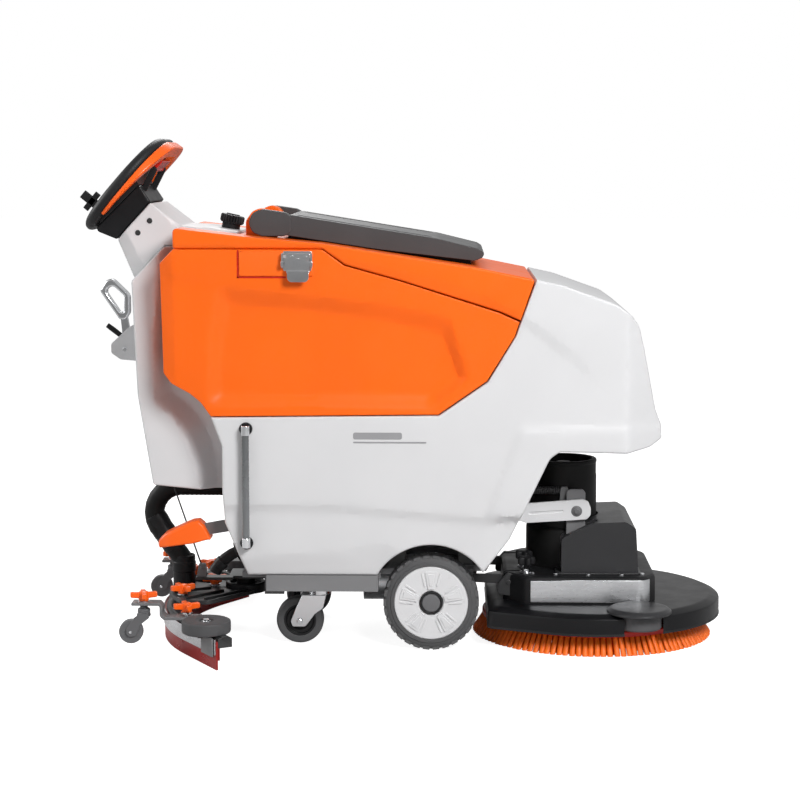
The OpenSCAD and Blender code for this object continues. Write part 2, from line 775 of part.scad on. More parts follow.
// Deck outline from above: a round front with straight sides to the rear
function deck_outline(r, rear_x, rear_y) = concat(
    [for (a = [-112:4:112]) [brush_x + r * cos(a), r * sin(a)]],
    [[rear_x + 12, rear_y], [rear_x, rear_y - 12], [rear_x, -rear_y + 12], [rear_x + 12, -rear_y]]);
roller_at = [430, -233];
module brush_deck() {
    placed() color("dimgray") {
        difference() {
            union() {
                translate([0, 0, 48]) linear_extrude(39) polygon(deck_outline(deck_r, 118, 206));
                translate([0, 0, 86.5]) linear_extrude(3.5) polygon(deck_outline(deck_r - 8, 126, 198));
            }
            translate([0, 0, 40]) linear_extrude(43) polygon(deck_outline(deck_r - 5, 123, 201));
            post(brush_x, 0, 70, 100, 30);
            post(roller_at[0], roller_at[1], 40, 100, 50);
        }
        // Round cap over the bumper roller, with its pin
        difference() {
            post(roller_at[0], roller_at[1], 89.9, 100, 62);
            post(roller_at[0], roller_at[1], 89, 91, 50);
        }
        post(roller_at[0], roller_at[1], 52, 95, 6);
    }
}
module bumper_roller() {
    placed() color("dimgray") difference() {
        post(roller_at[0], roller_at[1], 56, 88, 46);
        post(roller_at[0], roller_at[1], 50, 92, 6 + clear);
    }
}
module deck_drive() {
    placed() color("silver") difference() {
        union() {
            translate([0, 0, 90.1]) linear_extrude(58) polygon([[152, -112], [200, -168], [449, -168],
                [474, -120], [474, 120], [449, 168], [200, 168], [152, 112]]);
            // Ears of the lift arm
            both_sides() slab([[286, 146], [326, 146], [326, 322], [286, 322]], 88, 93);
            post(brush_x, 0, 56, 91, 15);
        }
        // Slots for the lower link and for the chassis ears when the deck is up
        both_sides() box([140, arm_y - 1, 108], [197, 114.5, 150]);
        rod_y(deck_arm_front, 6 + clear, -110, 110);
        rod_y(deck_link_front, 6, -112, 112);
        // Star knob's seat
        post(197, -50, 140, 149, 4);
    }
}
module brush_motor() {
    placed() color("black") {
        difference() {
            union() {
                post(284, 0, 148.2, 378, motor_r);
                post(270, 0, 148.2, 235, 80);
            }
            post(284, 0, 358, 380, motor_r - 12);
        }
        // Star knob
        post(197, -50, 141, 163, 4);
        post(197, -50, 162, 182, 10);
        for (a = [0:72:288]) translate([197, -50, 168]) rotate(a) translate([11, 0, 0])
            cylinder(r = 5, h = 12);
    }
}
module motor_cover() {
    placed() color("dimgray") difference() {
        slab_wide([[276, 148.2], [436, 148.2], [430, 245], [409, 258], [342, 255], [276, 222]], 130);
        slab_wide([[282, 140], [431, 140], [425, 242], [407, 253], [344, 250], [282, 219]], 125);
        post(284, 0, 140, 400, motor_r + 2);
        post(270, 0, 140, 240, 82);
        both_sides() box([270, 86, 200], [350, 106, 300]);
    }
}

module deck_arm() {
    placed() color("white") {
        difference() {
            both_sides() slab([[deck_arm_back[0] - 14, 272], [deck_arm_back[0] - 4, 264],
                [200, 252], [329, 260], [337, 270], [337, 284], [332, 298], [321, 303],
                [206, 294], [deck_arm_back[0] - 4, 298], [deck_arm_back[0] - 14, 290]],
                arm_y, arm_y + arm_t);
            rod_y(deck_arm_back, 7, -120, 120);
            rod_y(deck_arm_front, 5, -120, 120);
        }
        both_sides() rod_y(deck_arm_back, 8, 84, 112);
        both_sides() rod_y(deck_arm_front, 6, 87, 108);
    }
}
module deck_link() {
    placed() color("gray") {
        both_sides() slab([[deck_link_back[0] - 8, 127], [deck_link_front[0] - 4, 120],
            [deck_link_front[0] + 9, 126], [deck_link_front[0] + 9, 136], [deck_link_front[0] - 2, 141],
            [deck_link_back[0] - 8, 142]], arm_y, arm_y + arm_t);
        rod_y(deck_link_back, 6, -112, -84);
        rod_y(deck_link_back, 6, 84, 112);
        rod_y(deck_link_front, 5, -105, -85);
        rod_y(deck_link_front, 5, 85, 105);
    }
}

module deck_pedal() {
    placed() {
        color("orangered") slab([[-572, 222], [-568, 214], [-500, 222], [-462, 230], [-470, 246],
            [-484, 266], [-502, 266], [-556, 246]], -202, -142);
        color("gray") slab([[-500, 232], [-411, 248], [-403, 256], [-411, 264], [-436, 268],
            [-490, 258]], -176, -168);
        color("gray") rod_y(pedal_pivot, 5, -214, -130);
    }
}

module brush_disc() {
    placed() color("black") difference() {
        union() {
            post(brush_x, 0, 36, 48, 236);
            post(brush_x, 0, 47, 54, 60);
            post(brush_x, 0, 53, 80, 26);
        }
        post(brush_x, 0, 30, 100, 15 + clear);
    }
}
module brush_bristles() {
    placed() color("orangered") translate([brush_x, 0, 0]) rotate_extrude()
        polygon([[150, 0], [brush_r, 0], [234, 35.8], [120, 35.8]]);
}

chassis_frame();
solution_tank();
battery_pack();
transaxle();
vacuum_motor();
recovery_tank();
rear_column();
console_neck();
console_housing();
control_panel();
handle_ring();
handle_insert();
body_screws();
sight_gauge();
solution_filter();
suction_hose();
latch_plates();
lever_bracket();
recovery_cover();
lid();
lid_gasket();
latch_right();
latch_left();
filler_cap();
drive_paddle();
start_key();
emergency_stop();
brush_button();
vacuum_button();
lift_lever();
lift_cable();
squeegee_arm();
squeegee_frame();
squeegee_straps();
squeegee_blades();
squeegee_knobs();
bumper_wheel_right();
bumper_wheel_left();
guide_fork_right();
guide_fork_left();
guide_wheel_right();
guide_wheel_left();
drive_rim_right();
drive_tyre_right();
drive_rim_left();
drive_tyre_left();
caster_fork_right();
caster_fork_left();
caster_wheel_right();
caster_wheel_left();
deck_pedal();
deck_arm();
deck_link();
brush_deck();
deck_drive();
brush_motor();
motor_cover();
bumper_roller();
brush_disc();
brush_bristles();
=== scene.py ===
import math
import random

import bpy
import bmesh
import numpy as np
from mathutils import Matrix, Vector
from mathutils.geometry import delaunay_2d_cdt


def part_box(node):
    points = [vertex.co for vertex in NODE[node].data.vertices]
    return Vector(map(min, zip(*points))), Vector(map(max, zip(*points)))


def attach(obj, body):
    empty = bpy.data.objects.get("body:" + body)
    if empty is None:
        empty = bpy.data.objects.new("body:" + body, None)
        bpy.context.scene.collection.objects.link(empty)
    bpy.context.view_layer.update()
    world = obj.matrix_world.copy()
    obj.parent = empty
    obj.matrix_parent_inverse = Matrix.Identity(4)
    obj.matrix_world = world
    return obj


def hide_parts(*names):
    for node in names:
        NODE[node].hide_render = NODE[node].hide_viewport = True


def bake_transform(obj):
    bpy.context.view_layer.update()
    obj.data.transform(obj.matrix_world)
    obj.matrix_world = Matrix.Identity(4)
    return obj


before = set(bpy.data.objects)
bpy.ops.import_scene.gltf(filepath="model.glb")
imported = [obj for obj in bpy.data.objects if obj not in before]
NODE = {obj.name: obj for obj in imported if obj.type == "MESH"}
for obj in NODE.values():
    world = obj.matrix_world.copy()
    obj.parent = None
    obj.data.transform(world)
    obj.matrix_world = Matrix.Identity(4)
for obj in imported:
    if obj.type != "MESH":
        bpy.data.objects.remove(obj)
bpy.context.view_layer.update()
random.seed(7)

# Shapes are written in millimetres from the drive axle: x forward, y left, z up from the floor.
MM = 0.001
_low, _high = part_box("drive_tyre_right")
AXLE = (_low.x + _high.x) / 2
RIGHT, LEFT = -1, 1


def at(x, y, z):
    return Vector((AXLE + x * MM, y * MM, z * MM))


# ------------------------------------------------------------------ materials

def material(name, color, rough=0.4, metal=0.0, bump=0.05, grain=900.0, vary=0.06, coat=0.0,
             speck=0.0, wear=0.0, brush=None, see=0.0, shine=0.4):
    """Moulded, painted or rubbed surface: colour drift, fine grain, specks, worn edges."""
    m = bpy.data.materials.new(name)
    m.use_nodes = True
    n = m.node_tree.nodes
    link = m.node_tree.links.new
    skin = n["Principled BSDF"]
    skin.inputs["Metallic"].default_value = metal
    skin.inputs["Coat Weight"].default_value = coat
    skin.inputs["Coat Roughness"].default_value = 0.15
    skin.inputs["Transmission Weight"].default_value = see
    skin.inputs["Specular IOR Level"].default_value = shine
    place = n.new("ShaderNodeTexCoord")
    source = place.outputs["Object"]
    if brush:
        stretch = n.new("ShaderNodeMapping")
        stretch.inputs["Scale"].default_value = brush
        link(source, stretch.inputs["Vector"])
        source = stretch.outputs["Vector"]

    def noise(scale, detail):
        t = n.new("ShaderNodeTexNoise")
        t.inputs["Scale"].default_value = scale
        t.inputs["Detail"].default_value = detail
        link(source, t.inputs["Vector"])
        return t.outputs["Fac"]

    def ramp(fac, a, b, low, high):
        r = n.new("ShaderNodeMapRange")
        r.inputs["From Min"].default_value = a
        r.inputs["From Max"].default_value = b
        r.inputs["To Min"].default_value = low
        r.inputs["To Max"].default_value = high
        link(fac, r.inputs["Value"])
        return r.outputs["Result"]

    def mix(fac, one, two):
        x = n.new("ShaderNodeMix")
        x.data_type = "RGBA"
        if isinstance(fac, float):
            x.inputs[0].default_value = fac
        else:
            link(fac, x.inputs[0])
        for socket, value in ((x.inputs[6], one), (x.inputs[7], two)):
            if isinstance(value, tuple):
                socket.default_value = value
            else:
                link(value, socket)
        return x.outputs[2]

    dark = tuple(c * (1 - vary) for c in color) + (1,)
    light = tuple(min(1, c * (1 + vary)) for c in color) + (1,)
    tone = mix(ramp(noise(6, 3), 0.35, 0.65, 0, 1), dark, light)
    if speck:
        bright = tuple(min(1, c + 0.35) for c in color) + (1,)
        tone = mix(ramp(noise(1400, 1), 0.62, 0.72, 0, speck), tone, bright)
    if wear:
        shape = n.new("ShaderNodeNewGeometry")
        edge = ramp(shape.outputs["Pointiness"], 0.53, 0.6, 0, wear)
        pale = tuple(min(1, c * 1.25 + 0.12) for c in color) + (1,)
        tone = mix(edge, tone, pale)
    link(tone, skin.inputs["Base Color"])
    link(ramp(noise(25, 4), 0.3, 0.7, rough * 0.88, rough * 1.12), skin.inputs["Roughness"])
    fine = n.new("ShaderNodeBump")
    fine.inputs["Strength"].default_value = bump
    fine.inputs["Distance"].default_value = 0.0004
    link(noise(grain, 2), fine.inputs["Height"])
    link(fine.outputs["Normal"], skin.inputs["Normal"])
    return m


WHITE = material("moulded_white", (0.66, 0.66, 0.67), 0.42, bump=0.10, vary=0.015, wear=0.15)
ORANGE = material("moulded_orange", (0.95, 0.135, 0.004), 0.40, bump=0.12, vary=0.03,
                  speck=0.12, wear=0.12, shine=0.25)
LID = material("grained_dark_grey", (0.052, 0.052, 0.054), 0.5, bump=0.25, grain=700, vary=0.05, wear=0.15)
BLACK = material("moulded_black", (0.010, 0.010, 0.011), 0.42, bump=0.10, vary=0.08, wear=0.1, shine=0.22)
SOFT_BLACK = material("soft_black_grip", (0.014, 0.014, 0.015), 0.48, bump=0.2, grain=500, vary=0.08, shine=0.25)
DARK = material("satin_dark_grey", (0.026, 0.026, 0.028), 0.34, bump=0.12, grain=800, vary=0.06, wear=0.15,
                shine=0.35)
SKIRT = material("glossy_black_skirt", (0.004, 0.004, 0.005), 0.34, bump=0.06,
                 vary=0.08, wear=0.1, shine=0.3)
HOT = material("bright_orange_nylon", (1.0, 0.13, 0.006), 0.32, bump=0.05, vary=0.03, wear=0.1)
# Dark red: the real colour of the stop head, and painted shade on the latch pad shadow strips, the drive paddle and
# the brush block.
RED_AND_SHADE = material("red_nylon_and_painted_shade", (0.55, 0.015, 0.008), 0.3, bump=0.05, vary=0.05)
FRAME_GREY = material("powder_coat_grey", (0.17, 0.17, 0.175), 0.45, bump=0.3, grain=650, vary=0.05, wear=0.25)
FRAME_BLACK = material("powder_coat_black", (0.02, 0.02, 0.021), 0.4, bump=0.3, grain=650, vary=0.08, wear=0.3)
FRAME_WHITE = material("powder_coat_white", (0.68, 0.68, 0.69), 0.32, bump=0.1, grain=500, vary=0.02, wear=0.2)
ZINC = material("bright_zinc", (0.82, 0.83, 0.85), 0.16, metal=1.0, bump=0.06, grain=60, vary=0.05)
CAST = material("brushed_casting", (0.72, 0.73, 0.75), 0.3, metal=1.0, bump=0.05, grain=120, vary=0.04,
                brush=(3, 1, 30))
STEEL = material("brushed_stainless", (0.75, 0.76, 0.78), 0.25, metal=1.0, bump=0.3, grain=120, vary=0.03,
                 brush=(2, 2, 30))
GREY = material("moulded_grey", (0.13, 0.13, 0.135), 0.48, bump=0.1, vary=0.05, wear=0.1)
RIM = material("rim_white", (0.68, 0.68, 0.69), 0.3, bump=0.05, vary=0.012)
TYRE = material("tyre_rubber", (0.075, 0.075, 0.077), 0.62, bump=0.4, grain=420, vary=0.12, wear=0.25)
GREY_RUBBER = material("grey_rubber", (0.075, 0.075, 0.078), 0.5, bump=0.2, grain=500, vary=0.07)
RUBBER = material("black_rubber", (0.007, 0.007, 0.007), 0.45, bump=0.15, grain=300, vary=0.1, shine=0.2)
BLADE = material("red_polyurethane", (0.42, 0.012, 0.01), 0.3, bump=0.08, vary=0.08, see=0.25)
BRISTLE = material("orange_bristle", (1.0, 0.16, 0.008), 0.42, bump=0.5, grain=160, vary=0.12,
                   brush=(40, 40, 2))
TUBE = material("braided_clear_tube", (0.12, 0.125, 0.13), 0.28, bump=0.6, grain=520, vary=0.25, coat=0.5)
GLASS = material("display_glass", (0.01, 0.012, 0.014), 0.08, bump=0.0, vary=0.0, coat=1.0)
STRIPE = material("grey_stripe", (0.3, 0.3, 0.31), 0.45, bump=0.05, vary=0.02)


# ------------------------------------------------------------------ shapes

def unit(v):
    v = np.asarray(v, float)
    return v / max(np.linalg.norm(v), 1e-9)


def rounded(outline, r, steps=4):
    """Outline with each corner replaced by an arc. r is one radius or one per corner."""
    out = []
    n = len(outline)
    for i, b in enumerate(outline):
        radius = r[i] if isinstance(r, (list, tuple)) else r
        a, c = np.array(outline[i - 1], float), np.array(outline[(i + 1) % n], float)
        b = np.array(b, float)
        u, v = unit(a - b), unit(c - b)
        half = math.acos(max(-1, min(1, float(u @ v)))) / 2
        if radius <= 0 or half > math.radians(89):
            out.append(tuple(b))
            continue
        cut = min(radius / math.tan(half), 0.45 * np.linalg.norm(a - b), 0.45 * np.linalg.norm(c - b))
        radius = cut * math.tan(half)
        centre = b + unit(u + v) * (radius / math.sin(half))
        p, q = b + u * cut - centre, b + v * cut - centre
        start = math.atan2(p[1], p[0])
        turn = (math.atan2(q[1], q[0]) - start + math.pi) % (2 * math.pi) - math.pi
        for k in range(steps + 1):
            w = start + turn * k / steps
            out.append((centre[0] + radius * math.cos(w), centre[1] + radius * math.sin(w)))
    return out


def arc(cx, cy, r, a0, a1, steps):
    return [(cx + r * math.cos(math.radians(a0 + (a1 - a0) * k / steps)),
             cy + r * math.sin(math.radians(a0 + (a1 - a0) * k / steps))) for k in range(steps + 1)]


def inset(outline, d):
    """Counter-clockwise outline moved inwards by d."""
    n = len(outline)
    out = []
    for i in range(n):
        a, b, c = (np.array(outline[(i + k) % n], float) for k in (-1, 0, 1))
        u, v = unit(b - a), unit(c - b)
        n1, n2 = np.array((-u[1], u[0])), np.array((-v[1], v[0]))
        out.append(tuple(b + (n1 + n2) * (d / max(1 + n1 @ n2, 0.3))))
    return out


def dense(line, step, closed=False):
    pts = list(line) + ([line[0]] if closed else [])
    out = []
    for a, b in zip(pts, pts[1:]):
        a, b = np.array(a, float), np.array(b, float)
        k = max(1, int(np.linalg.norm(b[:2] - a[:2]) / step))
        out += [tuple(a + (b - a) * i / k) for i in range(k)]
    return out if closed else out + [tuple(pts[-1])]


class Shape:
    """Vertices and faces in millimetres from the drive axle."""

    def __init__(self):
        self.verts, self.faces = [], []

    def add(self, verts, faces):
        base = len(self.verts)
        self.verts += [tuple(float(c) for c in v) for v in verts]
        self.faces += [tuple(base + i for i in f) for f in faces]
        return self

    def loft(self, rings, caps=True, closed_ring=True, loop=False):
        n = len(rings[0])
        verts = [p for ring in rings for p in ring]
        faces = []
        rows = len(rings) if loop else len(rings) - 1
        for k in range(rows):
            a, b = k * n, ((k + 1) % len(rings)) * n
            for i in range(n if closed_ring else n - 1):
                j = (i + 1) % n
                faces.append((a + i, a + j, b + j, b + i))
        if caps and not loop:
            faces.append(tuple(range(n))[::-1])
            faces.append(tuple(range((len(rings) - 1) * n, len(rings) * n)))
        return self.add(verts, faces)

    def slab(self, outline, y0, y1):
        """Side outline [x, z] pushed out from y0 to y1."""
        return self.loft([[(x, y, z) for x, z in outline] for y in (y0, y1)])

    def prism(self, outline, z0, z1):
        """Plan outline [x, y] pushed up from z0 to z1."""
        return self.loft([[(x, y, z) for x, y in outline] for z in (z0, z1)])

    def box(self, low, high):
        return self.prism([(low[0], low[1]), (high[0], low[1]), (high[0], high[1]), (low[0], high[1])],
                          low[2], high[2])

    def turned(self, profile, origin, axis=(0, 0, 1), steps=48, caps=True):
        """Profile [radius, height] turned about an axis through origin."""
        w = unit(axis)
        u = unit(np.cross(w, (0.3, 0.9, 0.1) if abs(w[0]) > 0.5 else (1, 0, 0)))
        v = np.cross(w, u)
        o = np.array(origin, float)
        rings = []
        for r, h in profile:
            rings.append([tuple(o + w * h + (u * math.cos(t) + v * math.sin(t)) * max(r, 0.01))
                          for t in (2 * math.pi * k / steps for k in range(steps))])
        return self.loft(rings, caps=caps, loop=not caps)

    def pipe(self, path, r, steps=16, caps=True, loop=False):
        """Round tube along a path. r is one radius or one per point."""
        pts = [np.array(p, float) for p in path]
        n = len(pts)
        normal = None
        rings = []
        for i, p in enumerate(pts):
            if loop:
                t = unit(pts[(i + 1) % n] - pts[i - 1])
            else:
                t = unit(pts[min(i + 1, n - 1)] - pts[max(i - 1, 0)])
            if normal is None:
                normal = unit(np.cross(t, (0, 1, 0) if abs(t[1]) < 0.9 else (1, 0, 0)))
            normal = unit(normal - t * (normal @ t))
            side = np.cross(t, normal)
            radius = r[i] if isinstance(r, (list, tuple)) else r
            rings.append([tuple(p + (normal * math.cos(a) + side * math.sin(a)) * radius)
                          for a in (2 * math.pi * k / steps for k in range(steps))])
        return self.loft(rings, caps=caps, loop=loop)

    def rod_y(self, x, z, r, y0, y1, steps=40, edge=0.6):
        profile = [(r - edge, 0), (r, edge), (r, y1 - y0 - edge), (r - edge, y1 - y0)]
        return self.turned(profile, (x, y0, z), (0, 1, 0), steps)

    def post(self, x, y, z0, z1, r, steps=40, edge=0.6):
        profile = [(r - edge, 0), (r, edge), (r, z1 - z0 - edge), (r - edge, z1 - z0)]
        return self.turned(profile, (x, y, z0), (0, 0, 1), steps)

    def mirrored(self):
        other = Shape()
        other.verts = [(x, -y, z) for x, y, z in self.verts]
        other.faces = [tuple(reversed(f)) for f in self.faces]
        return other

    def both(self):
        other = self.mirrored()
        return self.add(other.verts, other.faces)

    def on_side(self, side):
        return self if side == RIGHT else self.mirrored()

    def moved(self, matrix):
        out = Shape()
        out.faces = list(self.faces)
        out.verts = [tuple(matrix @ Vector(v)) for v in self.verts]
        return out


def to_object(name, shape, weld=0.01):
    mesh = bpy.data.meshes.new(name)
    mesh.from_pydata([at(*v) for v in shape.verts], [], shape.faces)
    work = bmesh.new()
    work.from_mesh(mesh)
    bmesh.ops.remove_doubles(work, verts=work.verts, dist=weld * MM)
    bmesh.ops.recalc_face_normals(work, faces=work.faces)
    work.to_mesh(mesh)
    work.free()
    obj = bpy.data.objects.new(name, mesh)
    bpy.context.scene.collection.objects.link(obj)
    return obj


def finish_normals(obj):
    mod = obj.modifiers.new("weighted", "WEIGHTED_NORMAL")
    mod.keep_sharp = True
    mod.weight = 80


def round_edges(obj, width, steps=2, angle=30):
    mod = obj.modifiers.new("edges", "BEVEL")
    mod.width = width * MM
    mod.segments = steps
    mod.limit_method = "ANGLE"
    mod.angle_limit = math.radians(angle)
    mod.harden_normals = False
    mod.miter_outer = "MITER_ARC"


def cut_away(obj, shape, solver="EXACT"):
    tool = to_object(obj.name + "_cut", shape)
    mod = obj.modifiers.new("cut", "BOOLEAN")
    mod.operation = "DIFFERENCE"
    mod.solver = solver
    mod.object = tool
    settle(obj)
    bpy.data.objects.remove(tool)


def settle(obj):
    """Applies the modifiers to the mesh."""
    graph = bpy.context.evaluated_depsgraph_get()
    mesh = bpy.data.meshes.new_from_object(obj.evaluated_get(graph))
    obj.modifiers.clear()
    obj.data = mesh


def piece(name, shape, mat, body, edge=0.0, steps=2, cuts=(), replaces=(), sharp=34, angle=30):
    obj = to_object(name, shape)
    for cut in cuts:
        cut_away(obj, cut)
    obj.data.materials.clear()
    obj.data.materials.append(mat)
    for face in obj.data.polygons:
        face.use_smooth = True
    obj.data.set_sharp_from_angle(angle=math.radians(sharp))
    if edge:
        round_edges(obj, edge, steps, angle)
    finish_normals(obj)
    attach(obj, body)
    if replaces:
        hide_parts(*replaces)
    return obj


def dress(node, mat, edge=0.6, steps=2):
    """Gives a CAD node its material and small rounded edges."""
    obj = NODE[node]
    obj.data.materials.clear()
    obj.data.materials.append(mat)
    weld = obj.modifiers.new("weld", "WELD")
    weld.merge_threshold = 0.00002
    flat = obj.modifiers.new("flat", "DECIMATE")
    flat.decimate_type = "DISSOLVE"
    flat.angle_limit = math.radians(1.0)
    if edge:
        round_edges(obj, edge, steps, 40)
    finish_normals(obj)
    for face in obj.data.polygons:
        face.use_smooth = True


class Relief:
    """Height of a moulded side: a net of crease lines [x, z, y], flat between them."""

    def __init__(self, *lines):
        points, edges = [], []
        for line in lines:
            first = len(points)
            points += line
            edges += [(first + i, first + i + 1) for i in range(len(line) - 1)]
        flat = [Vector((p[0], p[1])) for p in points]
        verts, _, faces, source, _, _ = delaunay_2d_cdt(flat, edges, [], 0, 0.01)
        self.lines = lines
        self.xz = np.array([tuple(v) for v in verts])
        self.y = np.array([points[s[0]][2] if s else np.nan for s in source])
        self.faces = faces
        for i in np.flatnonzero(np.isnan(self.y)):
            self.y[i] = self.crossing(points, edges, self.xz[i])

    @staticmethod
    def crossing(points, edges, p):
        """Height where two crease lines cross: the mean of both lines there."""
        found = []
        for i, j in edges:
            a, b = np.array(points[i], float), np.array(points[j], float)
            run = b[:2] - a[:2]
            s = float((p - a[:2]) @ run / max(run @ run, 1e-9))
            if -0.001 <= s <= 1.001 and np.linalg.norm(a[:2] + run * s - p) < 0.05:
                found.append(a[2] + (b[2] - a[2]) * s)
        return sum(found) / len(found)

    def height(self, xz):
        xz = np.asarray(xz, float).reshape(-1, 2)
        out = np.full(len(xz), np.nan)
        for f in self.faces:
            a, b, c = self.xz[f[0]], self.xz[f[1]], self.xz[f[2]]
            d = (b[0] - a[0]) * (c[1] - a[1]) - (c[0] - a[0]) * (b[1] - a[1])
            if abs(d) < 1e-9:
                continue
            s = ((xz[:, 0] - a[0]) * (c[1] - a[1]) - (c[0] - a[0]) * (xz[:, 1] - a[1])) / d
            t = ((b[0] - a[0]) * (xz[:, 1] - a[1]) - (xz[:, 0] - a[0]) * (b[1] - a[1])) / d
            inside = (s >= -1e-6) & (t >= -1e-6) & (s + t <= 1 + 1e-6) & np.isnan(out)
            ys = self.y[list(f[:3])]
            out[inside] = (ys[0] + s * (ys[1] - ys[0]) + t * (ys[2] - ys[0]))[inside]
        lost = np.isnan(out)
        if lost.any():
            gap = ((xz[lost][:, None] - self.xz[None]) ** 2).sum(2)
            out[lost] = self.y[gap.argmin(1)]
        return out


def inside_of(outline, pts):
    o = np.array(outline)
    x, z = pts[:, 0], pts[:, 1]
    hit = np.zeros(len(pts), bool)
    for (x0, z0), (x1, z1) in zip(o, np.roll(o, -1, 0)):
        cross = ((z0 > z) != (z1 > z)) & (x < (x1 - x0) * (z - z0) / (z1 - z0 + 1e-12) + x0)
        hit ^= cross
    return hit


def moulded(outline, relief, edge_r=5.0, grid=7.0, soften=2, arcs=4):
    """Closed shell from a side outline, mirrored about y = 0, with relief sides and round edges."""
    outline = [p for p in outline]
    rings = []
    for k in range(arcs + 1):
        turn = math.pi / 2 * k / arcs
        line = inset(outline, edge_r * (1 - math.cos(turn)))
        y = relief.height(line) - edge_r * (1 - math.sin(turn))
        rings.append([(p[0], -v, p[1]) for p, v in zip(line, y)])
    rim = [(p[0], p[2]) for p in rings[-1]]
    xs, zs = [p[0] for p in rim], [p[1] for p in rim]
    gx = np.arange(min(xs) + grid / 2, max(xs), grid)
    gz = np.arange(min(zs) + grid / 2, max(zs), grid)
    net = np.array([(x + (grid / 2 if j % 2 else 0), z) for j, z in enumerate(gz) for x in gx])
    net = net[inside_of(inset(rim, grid * 0.4), net)]
    points = [Vector(p) for p in rim]
    edges = [(i, (i + 1) % len(rim)) for i in range(len(rim))]
    core = inset(rim, 0.5)
    for line in relief.lines:
        fine = np.array([p[:2] for p in dense(line, grid)])
        keep = inside_of(core, fine)
        last = None
        for p, ok in zip(fine, keep):
            if ok:
                points.append(Vector(p))
                if last is not None:
                    edges.append((last, len(points) - 1))
                last = len(points) - 1
            else:
                last = None
    crease = np.array([tuple(p) for p in points])
    far = np.ones(len(net), bool)
    for p in crease:
        far &= ((net - p) ** 2).sum(1) > (grid * 0.45) ** 2
    points += [Vector(p) for p in net[far]]
    verts, _, faces, source, _, _ = delaunay_2d_cdt(points, edges, [], 1, 0.005)
    xz = np.array([tuple(v) for v in verts])
    y = relief.height(xz)
    rim_count = len(rim)
    fixed = np.array([any(s < rim_count for s in ss) for ss in source])
    pairs = np.array([(f[i], f[(i + 1) % len(f)]) for f in faces for i in range(len(f))])
    for _ in range(soften):
        total, count = np.zeros(len(y)), np.zeros(len(y))
        np.add.at(total, pairs[:, 0], y[pairs[:, 1]])
        np.add.at(count, pairs[:, 0], 1)
        y = np.where(fixed | (count == 0), y, 0.4 * y + 0.6 * total / np.maximum(count, 1))
    side = Shape()
    side.add([(p[0], -v, p[1]) for p, v in zip(xz, y)], [tuple(f) for f in faces])
    side.loft(rings, caps=False)
    side.both()
    right, left = rings[0], [(p[0], -p[1], p[2]) for p in rings[0]]
    spans = 6
    strip = [[tuple(np.array(a) + (np.array(b) - np.array(a)) * k / spans) for a, b in zip(right, left)]
             for k in range(spans + 1)]
    side.loft(strip, caps=False)
    return side


# ------------------------------------------------------------------ body

HOOD_EDGE = [(213, 777), (171, 660), (115, 567), (16, 498)]


def body_shell():
    arch = arc(0, 100, 128, 151, 33.1, 22)
    hood = rounded([(101, 160), (162, 240), (207, 334), (243, 410), (263, 424), (401, 421), (450, 430),
                    (476, 446), (474, 476), (462, 506), (436, 630), (424, 680), (407, 704), (375, 727),
                    (268, 765), (213, 777)],
                   [0, 0, 0, 30, 14, 60, 30, 8, 8, 60, 60, 40, 30, 50, 60, 0])[1:]
    outline = [(-380, 162)] + arch + hood + HOOD_EDGE[1:]
    outline += [(-452, 493), (-430, 433), (-430, 337), (-426, 273)]
    chamfer = math.tan(math.radians(38))

    def corner(z, y):
        return (520, z, y - 119 * chamfer)

    relief = Relief(
        [(-520, 311, 240), (-358, 311, 240), (-208, 311, 240), (108, 285, 240), (139, 367, 240),
         (180, 475, 240), (304, 479, 240), (401, 481, 240), corner(481, 240)],
        [(-520, 298, 234), (-358, 298, 234), (-208, 298, 234), (49, 277, 234), (108, 273, 234),
         (109, 150, 234)],
        [(122, 290, 245), (151, 366, 245), (189, 464, 245), (304, 467, 245), (401, 468, 245),
         corner(468, 245)],
        [(122, 290, 245), (150, 290, 245), (240, 290, 245), (401, 290, 245), corner(290, 245)],
        [(108, 273, 234), (160, 276, 229), (260, 276, 229)],
        [(160, 276, 229), (160, 120, 224)],
        [(-520, 196, 234), (-363, 202, 234), (-208, 213, 234), (-97, 232, 234), (-60, 213, 234)],
        [(-520, 140, 214), (-380, 158, 221), (-112, 158, 221)],
        [(401, 860, 245), (401, 700, 245), (401, 560, 240), (401, 481, 240)],
        [(172, 705, 245), (184, 703, 245), (244, 664, 245), (301, 617, 243), (362, 542, 240)],
        [(160, 690, 240), (176, 691, 240), (232, 651, 240), (290, 604, 240), (362, 542, 240)],
        [(-520, 900, 240), (150, 900, 245), (401, 900, 245), corner(900, 245)],
    )
    shell = moulded(dense(outline, 9, True), relief, 4.5, 8.0)
    rooms = Shape()
    rooms.box((110, -130, 100), (300, 130, 462))
    upper = Shape().box((180, -215, 300), (424, 215, 455))
    bay = Shape().box((-368, -188, 234), (-8, 188, 520))
    notch = Shape().box((-640, -152, 300), (-439, 152, 900))
    pedal = Shape().box((-450, -206, 222), (-392, -138, 292))
    piece("body_shell", shell, WHITE, "chassis", replaces=["solution_tank"],
          cuts=(rooms, upper, bay, notch, pedal))


